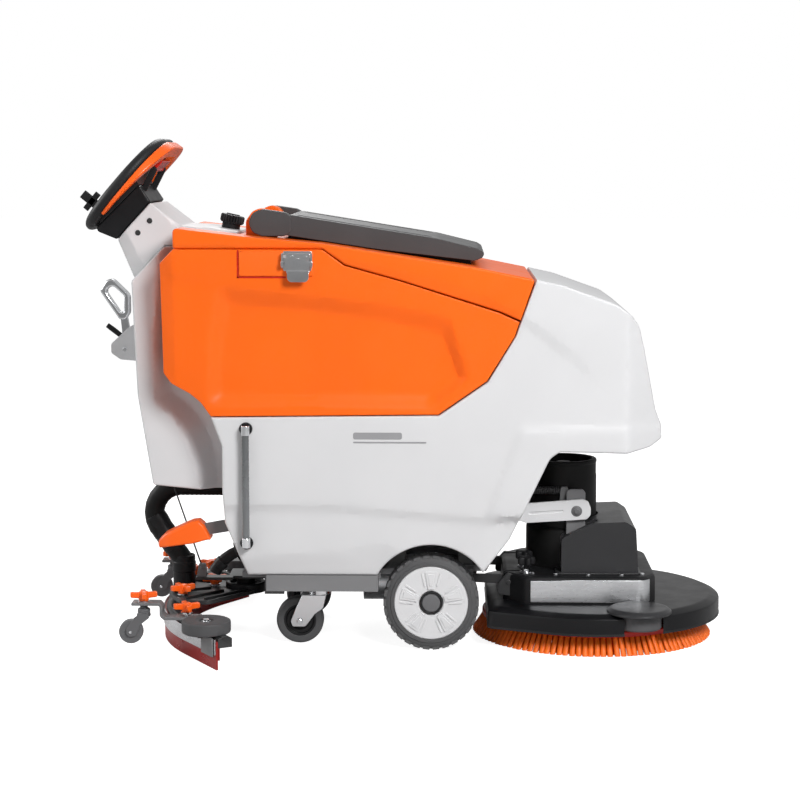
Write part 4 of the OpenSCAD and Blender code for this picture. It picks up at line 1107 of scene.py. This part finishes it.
def bumper_wheel(side, name):
    x, y = -455, -331
    disc = Shape().turned([(6.1, 66), (30, 66), (32, 64.8), (46, 65), (49, 67), (50, 70), (50, 87),
                           (49, 90), (46, 91.6), (24, 91.6), (22, 90.4), (15, 90.4), (13, 89), (6.1, 89)],
                          (x, y, 0), steps=72, caps=False)
    body = "bumper_wheel_" + name
    piece("bumper_disc_" + name, disc.on_side(side), GREY_RUBBER, body,
          replaces=[body])
    bolt = Shape().turned([(0, 93.6), (5.2, 93.6), (6.4, 92.6), (6.4, 89.4), (9.4, 89.2), (9.4, 88.6), (0, 88.6)],
                          (x, y, 0), steps=24)
    piece("bumper_bolt_" + name, bolt.on_side(side), ZINC, "squeegee")
    ring = Shape().turned([(9.8, 89.4), (15, 90.6), (15, 89.2), (9.8, 88.8)], (x, y, 0), caps=False)
    piece("bumper_ring_" + name, ring.on_side(side), BLACK, body)


# ------------------------------------------------------------------ deck

BRUSH_X = 347
ROLLER = (430, -233)


def deck_line(r, rear, half):
    line = arc(BRUSH_X, 0, r, -112, 112, 76)
    return line + rounded([(rear + 12, half), (rear, half - 12), (rear, -half + 12), (rear + 12, -half)],
                          [0, 0, 0, 0])


def deck():
    rings = []
    for d, z in ((5, 83), (5, 50), (4, 48), (0.8, 48), (0, 49), (0, 79), (1, 82), (3.5, 84), (15, 89),
                 (18, 90), (22, 90.6), (60, 91)):
        rings.append([(x, y, z) for x, y in deck_line(275 - d, 118 + d, 206 - d)])
    shell = Shape().loft(rings)
    room = Shape().post(ROLLER[0], ROLLER[1], 40, 89.5, 50).post(BRUSH_X, 0, 60, 100, 30)
    piece("deck_skirt", shell, SKIRT, "deck", edge=0.8, replaces=["brush_deck"], cuts=(room,),
          sharp=28)
    lip = Shape()
    lip.loft([[(x, y, z) for x, y in deck_line(275 + d, 118 - d, 206 + d)]
              for d, z in ((-3, 46.5), (0.6, 46.5), (0.8, 49), (0.2, 51), (-3, 51))], loop=True)
    piece("deck_lip", lip, BLACK, "deck", cuts=(room,))
    cap = Shape().turned([(50, 88.5), (62, 88.5), (66, 89.5), (67, 91.5), (66, 95), (60, 99.5), (54, 101),
                          (0, 101.2), (0, 93), (49, 92.5), (50, 91)], (ROLLER[0], ROLLER[1], 0), steps=80)
    piece("roller_cap", cap, DARK, "deck", edge=0.5)
    pin = Shape().post(ROLLER[0], ROLLER[1], 52, 93, 5.9)
    pin.turned([(0, 50.5), (8, 50.5), (9, 51.5), (9, 55.5), (0, 55.5)], (ROLLER[0], ROLLER[1], 0), steps=6)
    piece("roller_pin", pin, ZINC, "deck", edge=0.3)
    drum = Shape().turned([(6.1, 56), (40, 56), (44, 57), (46, 60), (46, 84), (44, 87), (40, 88), (6.1, 88)],
                          (ROLLER[0], ROLLER[1], 0), steps=72, caps=False)
    piece("roller_drum", drum, GREY_RUBBER, "bumper_roller", edge=0.4,
          replaces=["bumper_roller"])


def plinth():
    plan = rounded([(152, -112), (200, -168), (449, -168), (474, -120), (474, 120), (449, 168),
                    (200, 168), (152, 112)], [10, 26, 30, 30, 30, 30, 26, 10], 6)
    rings = []
    # The insets stay under the smallest corner radius, 10, or the top ring crosses itself.
    for d, z in ((0, 90.2), (0, 98), (0.5, 140), (2, 145), (6, 148), (9, 148.6)):
        rings.append([(x, y, z) for x, y in inset(plan, d)])
    block = Shape().loft(rings)
    slots = Shape().box((140, 94, 104), (197, 104, 152)).both()
    bores = Shape().rod_y(175, 130, 6, -115, 115, 32)
    piece("deck_plinth", block, BLACK, "deck", edge=0.6, replaces=["deck_drive"],
          cuts=(slots, bores))
    front = [(x, y) for x, y in plan if y < -100 and 205 < x < 468]
    front = sorted(front)
    dense_front = dense(front, 4)
    outer = []
    for i, (x, y) in enumerate(dense_front):
        a, b = dense_front[max(i - 1, 0)], dense_front[min(i + 1, len(dense_front) - 1)]
        t = unit(np.array(b) - np.array(a))
        out = np.array((t[1], -t[0]))
        top = 139 + 2 * min(1, max(0, (x - 240) / 60))
        ring = [(x + out[0] * o, y + out[1] * o, z) for o, z in
                ((-0.5, 95), (1.2, 95), (1.8, 97), (1.6, top), (1.0, top + 1.5), (-0.5, top + 1.5))]
        outer.append(ring)
    band = Shape().loft(outer)
    piece("deck_band", band.both(), CAST, "deck", edge=0.3)
    ears = Shape().slab(rounded([(286, 146), (326, 146), (326, 316), (320, 323), (292, 323), (286, 317)],
                                [0, 0, 6, 6, 6, 6]), -93, -88)
    bore = Shape().rod_y(307, 278, 6, -100, -80, 24)
    piece("arm_ears", ears.both(), FRAME_GREY, "deck", edge=0.8, cuts=(bore.both(),))
    spots = Shape()
    for x, y in ((262, -140), (330, -146), (400, -146), (444, -136), (214, -128)):
        spots.turned([(0, 152.2), (4, 152), (5.2, 150.5), (5.2, 148.4), (0, 148.4)], (x, y, 0), steps=24)
    piece("plinth_bolts", spots.both(), ZINC, "deck")
    lug = Shape().slab(rounded([(140, 104), (166, 100), (184, 120), (182, 146), (160, 148), (142, 128)], 6),
                       -128, -118)
    lug.rod_y(163, 130, 5, -131, -127, 6)
    piece("link_lugs", lug.both(), FRAME_BLACK, "deck", edge=1)


def motor():
    body = Shape()
    body.turned([(0, 356), (56, 356), (59, 358), (60, 374), (62, 378), (69, 378), (71, 376), (71.5, 371),
                 (70.2, 369), (70.2, 345), (71, 343), (71.3, 300), (71.8, 236), (76, 234), (79.5, 231),
                 (80, 226), (80, 150), (82, 149), (0, 149)], (284, 0, 0), steps=96)
    for k in range(12):
        a = 2 * math.pi * k / 12
        x, y = 284 + 73.5 * math.cos(a), 73.5 * math.sin(a)
        body.post(x, y, 160, 222, 3.2, 12)
    piece("motor_can", body, RUBBER, "deck", edge=0.6, replaces=["brush_motor"], sharp=30)
    top = Shape().turned([(0, 358), (50, 358), (52, 360), (40, 363), (18, 364), (14, 370), (0, 371)],
                         (284, 0, 0), steps=64)
    for k in range(10):
        a = 2 * math.pi * k / 10
        top.box((284 + 34 * math.cos(a) - 3, 34 * math.sin(a) - 3, 361),
                (284 + 34 * math.cos(a) + 3, 34 * math.sin(a) + 3, 365))
    piece("motor_end", top, DARK, "deck", edge=0.6)
    outline = [(274, 149), (437, 149), (431, 246), (410, 260), (342, 257), (274, 224)]
    shell = Shape().slab(rounded(outline, [0, 0, 10, 14, 18, 12], 5), -131, 131)
    inner = Shape().slab([(281, 140), (431, 140), (425, 242), (407, 253), (344, 250), (281, 219)], -125, 125)
    bore = Shape().post(284, 0, 140, 400, 76).box((268, -108, 196), (352, -84, 310)).box(
        (268, 84, 196), (352, 108, 310))
    piece("motor_cover_shell", shell, DARK, "deck", edge=6, steps=4,
          replaces=["motor_cover"], cuts=(inner, bore), angle=45)
    flange = Shape().prism(rounded([(262, -140), (442, -140), (442, 140), (262, 140)], 12), 148.5, 152)
    piece("motor_cover_flange", flange, DARK, "deck", edge=0.8)
    knob = Shape()
    rings = []
    for r, z in ((8, 166), (15, 166.5), (16.5, 169), (16.5, 178), (15, 181.5), (10, 183), (0.5, 183)):
        rings.append([(197 + (r + 3.2 * math.cos(5 * t) * min(1, r / 10)) * math.cos(t),
                       -50 + (r + 3.2 * math.cos(5 * t) * min(1, r / 10)) * math.sin(t), z)
                      for t in (2 * math.pi * k / 60 for k in range(60))])
    knob.loft(rings)
    knob.post(197, -50, 141, 167, 5)
    piece("star_knob", knob, BLACK, "deck", edge=0.6)
    near = knob.moved(Matrix.Translation((3, -68, 0)))
    piece("star_knob_near", near, BLACK, "deck", edge=0.6)
    washers = Shape()
    for y in (-50, -118):
        washers.turned([(5.2, 148), (13, 148), (13, 150), (12, 151), (8, 152), (8, 157), (5.2, 157)],
                       (197 if y == -50 else 200, y, 0), steps=32, caps=False)
    piece("knob_washers", washers, ZINC, "deck", edge=0.2)


def lift_arm():
    arm = rounded([(155, 272), (164, 263), (200, 252), (329, 260), (337, 270), (337, 284), (332, 298),
                   (321, 303), (206, 294), (166, 298), (155, 290)], [6, 8, 20, 10, 8, 8, 8, 8, 60, 6, 6], 5)
    shape = Shape()
    shape.slab(arm, -103, -95)
    dent = Shape().slab(rounded([(206, 270), (278, 276), (278, 280), (206, 275)], 1.5), -104, -101)
    obj = piece("lift_arm_right", shape, FRAME_WHITE, "deck_arm", edge=1.6, steps=3,
                cuts=(dent,), replaces=["deck_arm"])
    piece("lift_arm_left", shape.mirrored(), FRAME_WHITE, "deck_arm", edge=1.6, steps=3)
    rods = Shape().rod_y(169, 282, 7.9, -112, -84)
    rods.rod_y(307, 278, 5.9, -106, -87.5)
    piece("lift_arm_pins", rods.both(), ZINC, "deck_arm")
    head = Shape().turned([(0, -2.8), (7, -2.6), (9, -1.6), (11.6, -0.8), (11.6, 0), (0, 0)],
                          (307, -103, 278), (0, 1, 0), 40)
    head.turned([(0, -5.5), (5.5, -5.5), (6.4, -4.6), (6.4, -1), (0, -1)], (307, -103, 278), (0, 1, 0), 6)
    piece("lift_arm_bolts", head.both(), GREY, "deck_arm", edge=0.3)
    link = Shape().slab(rounded([(29, 127), (171, 120), (184, 126), (184, 136), (173, 141), (29, 142)],
                                [6, 8, 6, 6, 8, 6]), -103, -95)
    link.rod_y(37, 134, 5.9, -112, -84).rod_y(175, 130, 4.9, -105, -89)
    piece("link_bars", link.both(), FRAME_BLACK, "deck_link", edge=1,
          replaces=["deck_link"])
    coil = []
    for k in range(24 * 22 + 1):
        a = 2 * math.pi * k / 24
        coil.append((180 + 92 * k / (24 * 22), -76 + 7 * math.cos(a), 318 + 7 * math.sin(a)))
    coil = [(172, -76, 318)] + coil + [(276, -76, 318), (282, -76, 318)]
    spring = to_object("lift_spring", Shape().pipe(coil, 1.6, 8))
    spring.data.materials.append(FRAME_BLACK)
    for f in spring.data.polygons:
        f.use_smooth = True
    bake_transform(spring)
    tab = Shape().slab(rounded([(270, 262), (290, 262), (290, 326), (274, 326)], 4), -80, -74)
    tab.rod_y(280, 276, 8, -95.5, -70)
    piece("spring_tab", tab, FRAME_GREY, "deck_arm", edge=0.8)


def brush():
    # The block takes the dark red material: painted shade, standing for the shade behind the bristles.
    disc = Shape().turned([(15.1, 36), (118, 36), (119, 35.5), (236, 35.5), (237, 37), (237, 46), (234, 48.4),
                           (62, 48.4), (60, 52), (58, 54), (27, 54), (26, 80), (15.1, 80)],
                          (BRUSH_X, 0, 0), steps=128, caps=False)
    piece("brush_block", disc, RED_AND_SHADE, "brush", edge=0.5, replaces=["brush_disc"])
    tufts = Shape()
    rows = ((231, 253.5, 119, 5.4), (218, 239, 119, 5.0), (200, 216, 100, 5.0), (180, 192, 90, 5.0),
            (160, 168, 80, 5.0), (141, 145, 70, 5.0))
    for row, (r0, r1, count, thick) in enumerate(rows):
        sides = 9 if row == 0 else 6
        for k in range(count):
            a = 2 * math.pi * (k + 0.5 * (row % 2)) / count
            lean = random.uniform(-0.006, 0.006)
            long = random.uniform(-0.6, 0.6)
            rings = []
            for s, grow in ((0, 0.8), (0.25, 0.95), (0.7, 1.05), (1.0, 1.12)):
                r = r0 + (r1 - r0) * s ** 1.15
                z = 38 - (37.4 + long * (s > 0.9) * 0.5) * s
                b = a + lean * s
                c = np.array((BRUSH_X + r * math.cos(b), r * math.sin(b), max(z, 0.2)))
                e1 = np.array((math.cos(b), math.sin(b), 0))
                e2 = np.array((-math.sin(b), math.cos(b), 0))
                rings.append([tuple(c + (e1 * math.cos(t) * 0.8 + e2 * math.sin(t)) * thick * grow)
                              for t in (2 * math.pi * j / sides for j in range(sides))])
            tufts.loft(rings)
    piece("brush_tufts", tufts, BRISTLE, "brush", replaces=["brush_bristles"], sharp=60)


# ------------------------------------------------------------------ squeegee

SQ_R, SQ_BEND, SQ_TIP, SQ_HALF = 480.0, math.radians(31), -429.0, 386.0
SQ_CX = SQ_TIP - (SQ_HALF - SQ_R * math.sin(SQ_BEND)) * math.tan(SQ_BEND) + SQ_R * math.cos(SQ_BEND)


def squeegee_line(d, cut=0.0):
    """Rear edge of the squeegee moved forward by d; the tips stop short by cut."""
    def tip(side):
        return (SQ_TIP + d * math.cos(SQ_BEND) - cut * math.sin(SQ_BEND),
                side * (SQ_HALF - d * math.sin(SQ_BEND) - cut * math.cos(SQ_BEND)))
    line = [tip(1)]
    for k in range(49):
        a = SQ_BEND - 2 * SQ_BEND * k / 48
        line.append((SQ_CX - (SQ_R - d) * math.cos(a), (SQ_R - d) * math.sin(a)))
    return line + [tip(-1)]


def squeegee_strip(profile, cut=0.0):
    """Profile [d, z] carried along the squeegee from tip to tip."""
    rows = [squeegee_line(d, cut) for d, _ in profile]
    rings = []
    for i in range(len(rows[0])):
        rings.append([(rows[k][i][0], rows[k][i][1], profile[k][1]) for k in range(len(profile))])
    return Shape().loft(rings)


def squeegee():
    channel = squeegee_strip([(4.3, 44), (35.8, 44), (35.8, 62), (33, 64.5), (28, 65), (27, 68), (13, 68),
                              (12, 65), (7, 64.5), (4.3, 62)])
    channel.prism(rounded([(-566, -70), (-530, -150), (-470, -150), (-385, -40), (-385, 40),
                           (-470, 150), (-530, 150), (-566, 70)], [14, 20, 20, 10, 10, 20, 20, 14]), 82, 91)
    for x, y0, y1 in ((-545, -90, 90), (-505, -130, 130)):
        channel.box((x - 3, y0, 66), (x + 3, y1, 84))
    piece("squeegee_channel", channel, FRAME_BLACK, "squeegee", edge=1.0,
          replaces=["squeegee_frame"])
    ribs = Shape()
    for s in (-1, 1):
        for x0, y0, x1, y1 in ((-556, 66, -480, 30), (-520, 136, -450, 56), (-480, 142, -400, 44)):
            a, b = np.array((x0, s * y0)), np.array((x1, s * y1))
            t = unit(b - a)
            n = np.array((-t[1], t[0])) * 2.6
            ribs.prism([tuple(a + n), tuple(b + n), tuple(b - n), tuple(a - n)], 90, 96)
    ribs.turned([(44, 82), (44, 100), (42, 103), (36, 103), (34, 100), (34, 96), (20, 96), (20, 110),
                 (18, 112), (9, 112), (9, 82)], (-407, 0, 0), steps=72, caps=False)
    ribs.turned([(18.8, 66), (24, 66), (24, 124), (25, 125), (25, 128), (23, 130), (18.8, 130)],
                (PORT_X, 0, 0), steps=48, caps=False)
    for k in range(8):
        a = 2 * math.pi * k / 8
        c = np.array((-407 + 27 * math.cos(a), 27 * math.sin(a)))
        ribs.post(c[0], c[1], 95, 99, 3, 12)
    piece("squeegee_carrier", ribs, BLACK, "squeegee", edge=0.8)
    straps = squeegee_strip([(-2.2, 30), (-0.3, 30), (-0.3, 62), (-2.2, 62)], 2)
    inner = squeegee_strip([(40.4, 30), (42.2, 30), (42.2, 58), (40.4, 58)], 70)
    straps.add(inner.verts, inner.faces)
    piece("squeegee_clamps", straps, STEEL, "squeegee", edge=0.4,
          replaces=["squeegee_straps"])
    blades = squeegee_strip([(0, 0.2), (1.5, 0), (3.9, 0.3), (3.9, 58), (0, 58)])
    front = squeegee_strip([(36.3, 0.6), (38, 0), (40.1, 0.4), (40.1, 58), (36.3, 58)], 70)
    blades.add(front.verts, front.faces)
    piece("squeegee_rubber", blades, BLADE, "squeegee", replaces=["squeegee_blades"])
    # End brackets that hold the bumper wheels
    ends = Shape()
    edge = squeegee_line(0)
    a0 = np.array(edge[-1])
    t = unit(a0 - np.array(edge[-2]))
    n = np.array((-t[1], t[0]))
    ends.prism([tuple(a0 - n * 6 + t * -8), tuple(a0 - n * 6 + t * -62),
                tuple(a0 - n * 3 + t * -62), tuple(a0 - n * 3 + t * -8)], 26, 64)
    piece("squeegee_end_plates", ends.both(), FRAME_GREY, "squeegee", edge=0.8)
    tabs = Shape()
    tabs.prism([(-455 + u, -331 + v) for u, v in ((-16, -14), (14, -14), (20, 22), (-22, 22))], 56, 61)
    tabs.post(-455, -331, 58, 90, 5.9)
    piece("bumper_tabs", tabs.both(), FRAME_BLACK, "squeegee", edge=0.8)
    bracket = Shape()
    z_line = [(-621, 100), (-562, 100), (-562, 78), (-554, 70), (-478, 70), (-478, 76), (-550, 76),
              (-556, 82), (-556, 98), (-563, 106), (-621, 106)]
    z_line = rounded(z_line, [2, 4, 8, 6, 2, 2, 6, 4, 8, 6, 2], 4)
    bracket.slab(z_line, -246, -210)
    bore = Shape().post(-597, -228, 90, 112, 5.1, 24)
    piece("guide_brackets", bracket.both(), FRAME_GREY, "squeegee", edge=1.2,
          cuts=(bore.both(),))
    feet = Shape()
    for y0, y1 in ((-245, -211),):
        feet.box((-515, y0 + 4, 62), (-498, y1 - 4, 71))
    piece("guide_bracket_feet", feet.both(), FRAME_BLACK, "squeegee", edge=0.8)


def wing(x, y, z, turn):
    shape = Shape()
    shape.turned([(0, 0), (9, 0), (10.4, 1), (10.4, 6), (10.4, 16), (9, 19), (5, 20), (0, 20)], (0, 0, 0),
                 steps=24)
    for k in range(4):
        blade = Shape()
        rings = []
        for u, half, low, high in ((5, 3.6, 3, 18), (14, 4.2, 5.5, 18), (24, 5.4, 6.5, 18.5), (27.5, 4.6, 7.5, 17.5)):
            rings.append([(u, v, w) for v, w in rounded([(-half, low), (half, low), (half, high),
                                                          (-half, high)], 1.8, 3)])
        blade.loft(rings)
        blade = blade.moved(Matrix.Rotation(math.pi / 2 * k, 4, "Z"))
        shape.add(blade.verts, blade.faces)
    return shape.moved(Matrix.Translation((x, y, z)) @ Matrix.Rotation(math.radians(turn), 4, "Z"))


def knobs():
    spots = [(-597, -228, 108, 12), (-508, -228, 84.5, 20), (-532, -100, 96.5, 35),
             (-597, 228, 108, 50), (-508, 228, 84.5, 70), (-532, 100, 96.5, 5), (-475, 0, 96.5, 30)]
    allk = Shape()
    for x, y, z, turn in spots:
        one = wing(x, y, z, turn)
        allk.add(one.verts, one.faces)
    piece("wing_knobs", allk, HOT, "squeegee", edge=0.6, replaces=["squeegee_knobs"])
    stems = Shape()
    for x, y, z, turn in spots:
        stems.post(x, y, z - 14 if z < 100 else z - 2, z + 1, 4, 16)
        stems.turned([(4, z - 3), (12, z - 3), (12, z - 0.5), (4, z - 0.5)], (x, y, 0), steps=24, caps=False)
    piece("knob_stems", stems, ZINC, "squeegee")


# ------------------------------------------------------------------ chassis

def chassis_parts():
    dress("chassis_frame", FRAME_GREY, 0.8)
    dress("transaxle", CAST, 0.8)
    dress("vacuum_motor", CAST, 0.8)
    dress("battery_pack", BLACK, 2.0)
    dress("control_panel", BLACK, 0.8)
    dress("lid_gasket", RUBBER, 0.5)
    dress("body_screws", FRAME_BLACK, 0.4)
    dress("squeegee_arm", FRAME_BLACK, 1.0)


def stripe():
    band = Shape()
    band.slab(rounded([(-160, 441), (-10, 441), (-10, 444), (-160, 444)], 1.4), -240.8, -239.5)
    band.slab(rounded([(-160, 449), (-60, 449), (-60, 463), (-160, 463)], 4), -240.8, -239.5)
    piece("side_stripe", band.both(), STRIPE, "chassis", edge=0.2)


def build():
    body_shell()
    tank_shell()
    cover_shell()
    lid_shell()
    column_shell()
    neck_shell()
    console_shell()
    handle()
    controls()
    filler()
    latches()
    gauge()
    lift_handle()
    hose()
    pedal()
    solution_parts()
    for side, name in ((RIGHT, "right"), (LEFT, "left")):
        wheel(side, name)
        caster(side, name)
        guide(side, name)
        bumper_wheel(side, name)
    deck()
    plinth()
    motor()
    lift_arm()
    brush()
    squeegee()
    knobs()
    chassis_parts()
    stripe()


# ------------------------------------------------------------------ studio

def studio():
    floor = bpy.data.meshes.new("studio_floor")
    size = 30
    floor.from_pydata([(-size, -size, 0), (size, -size, 0), (size, size, 0), (-size, size, 0)], [],
                      [(0, 1, 2, 3)])
    ground = bpy.data.objects.new("studio_floor", floor)
    bpy.context.scene.collection.objects.link(ground)
    pale = bpy.data.materials.new("pale_floor")
    pale.use_nodes = True
    skin = pale.node_tree.nodes["Principled BSDF"]
    skin.inputs["Base Color"].default_value = (0.55, 0.55, 0.55, 1)
    skin.inputs["Roughness"].default_value = 0.9
    skin.inputs["Emission Color"].default_value = (1, 1, 1, 1)
    # The floor looks white but throws little light back under the machine
    sight = pale.node_tree.nodes.new("ShaderNodeLightPath")
    glow = pale.node_tree.nodes.new("ShaderNodeMath")
    glow.operation = "MULTIPLY"
    glow.inputs[1].default_value = 0.9
    pale.node_tree.links.new(sight.outputs["Is Camera Ray"], glow.inputs[0])
    pale.node_tree.links.new(glow.outputs[0], skin.inputs["Emission Strength"])
    floor.materials.append(pale)
    world = bpy.data.worlds.new("studio")
    world.use_nodes = True
    back = world.node_tree.nodes["Background"]
    back.inputs["Color"].default_value = (1, 1, 1, 1)
    back.inputs["Strength"].default_value = 0.2
    # The camera sees a plain white backdrop, metal reflects part of it, the rest is lit softly
    backdrop = world.node_tree.nodes.new("ShaderNodeBackground")
    seen = world.node_tree.nodes.new("ShaderNodeLightPath")
    choose = world.node_tree.nodes.new("ShaderNodeMixShader")
    join = world.node_tree.links.new
    gloss = world.node_tree.nodes.new("ShaderNodeMath")
    gloss.operation = "MULTIPLY_ADD"
    gloss.use_clamp = True
    gloss.inputs[1].default_value = 0.4
    join(seen.outputs["Is Glossy Ray"], gloss.inputs[0])
    join(seen.outputs["Is Camera Ray"], gloss.inputs[2])
    join(gloss.outputs[0], choose.inputs[0])
    join(back.outputs[0], choose.inputs[1])
    join(backdrop.outputs[0], choose.inputs[2])
    join(choose.outputs[0], world.node_tree.nodes["World Output"].inputs["Surface"])
    backdrop.inputs["Color"].default_value = (1, 1, 1, 1)
    bpy.context.scene.world = world

    def lamp(name, place, target, size, power):
        data = bpy.data.lights.new(name, "AREA")
        data.shape = "RECTANGLE"
        data.size, data.size_y = size
        data.energy = power
        obj = bpy.data.objects.new(name, data)
        obj.location = place
        obj.visible_camera = False
        obj.rotation_euler = (Vector(target) - Vector(place)).to_track_quat("-Z", "Y").to_euler()
        bpy.context.scene.collection.objects.link(obj)

    lamp("key", (1.6, -3.1, 2.6), (0, 0, 0.5), (1.2, 1.2), 148)
    lamp("fill", (-3.0, -2.5, 1.8), (0, 0, 0.5), (2.0, 2.0), 18)
    lamp("far side", (-0.6, 3.2, 3.0), (0, 0, 0.5), (1.4, 1.4), 55)
    lamp("rear", (-3.8, 0.8, 1.8), (0, 0, 0.5), (1.6, 1.6), 60)
    view = bpy.context.scene.view_settings
    view.view_transform = "Standard"
    view.look = "None"


def camera():
    data = bpy.data.cameras.new("camera")
    data.lens = 91.9
    data.sensor_width = 36
    obj = bpy.data.objects.new("camera", data)
    obj.location = (AXLE + 0.0379, -4.3806, 1.0216)
    obj.rotation_euler = (math.radians(83.236), 0, math.radians(1.41))
    bpy.context.scene.collection.objects.link(obj)
    bpy.context.scene.camera = obj


build()
studio()
camera()
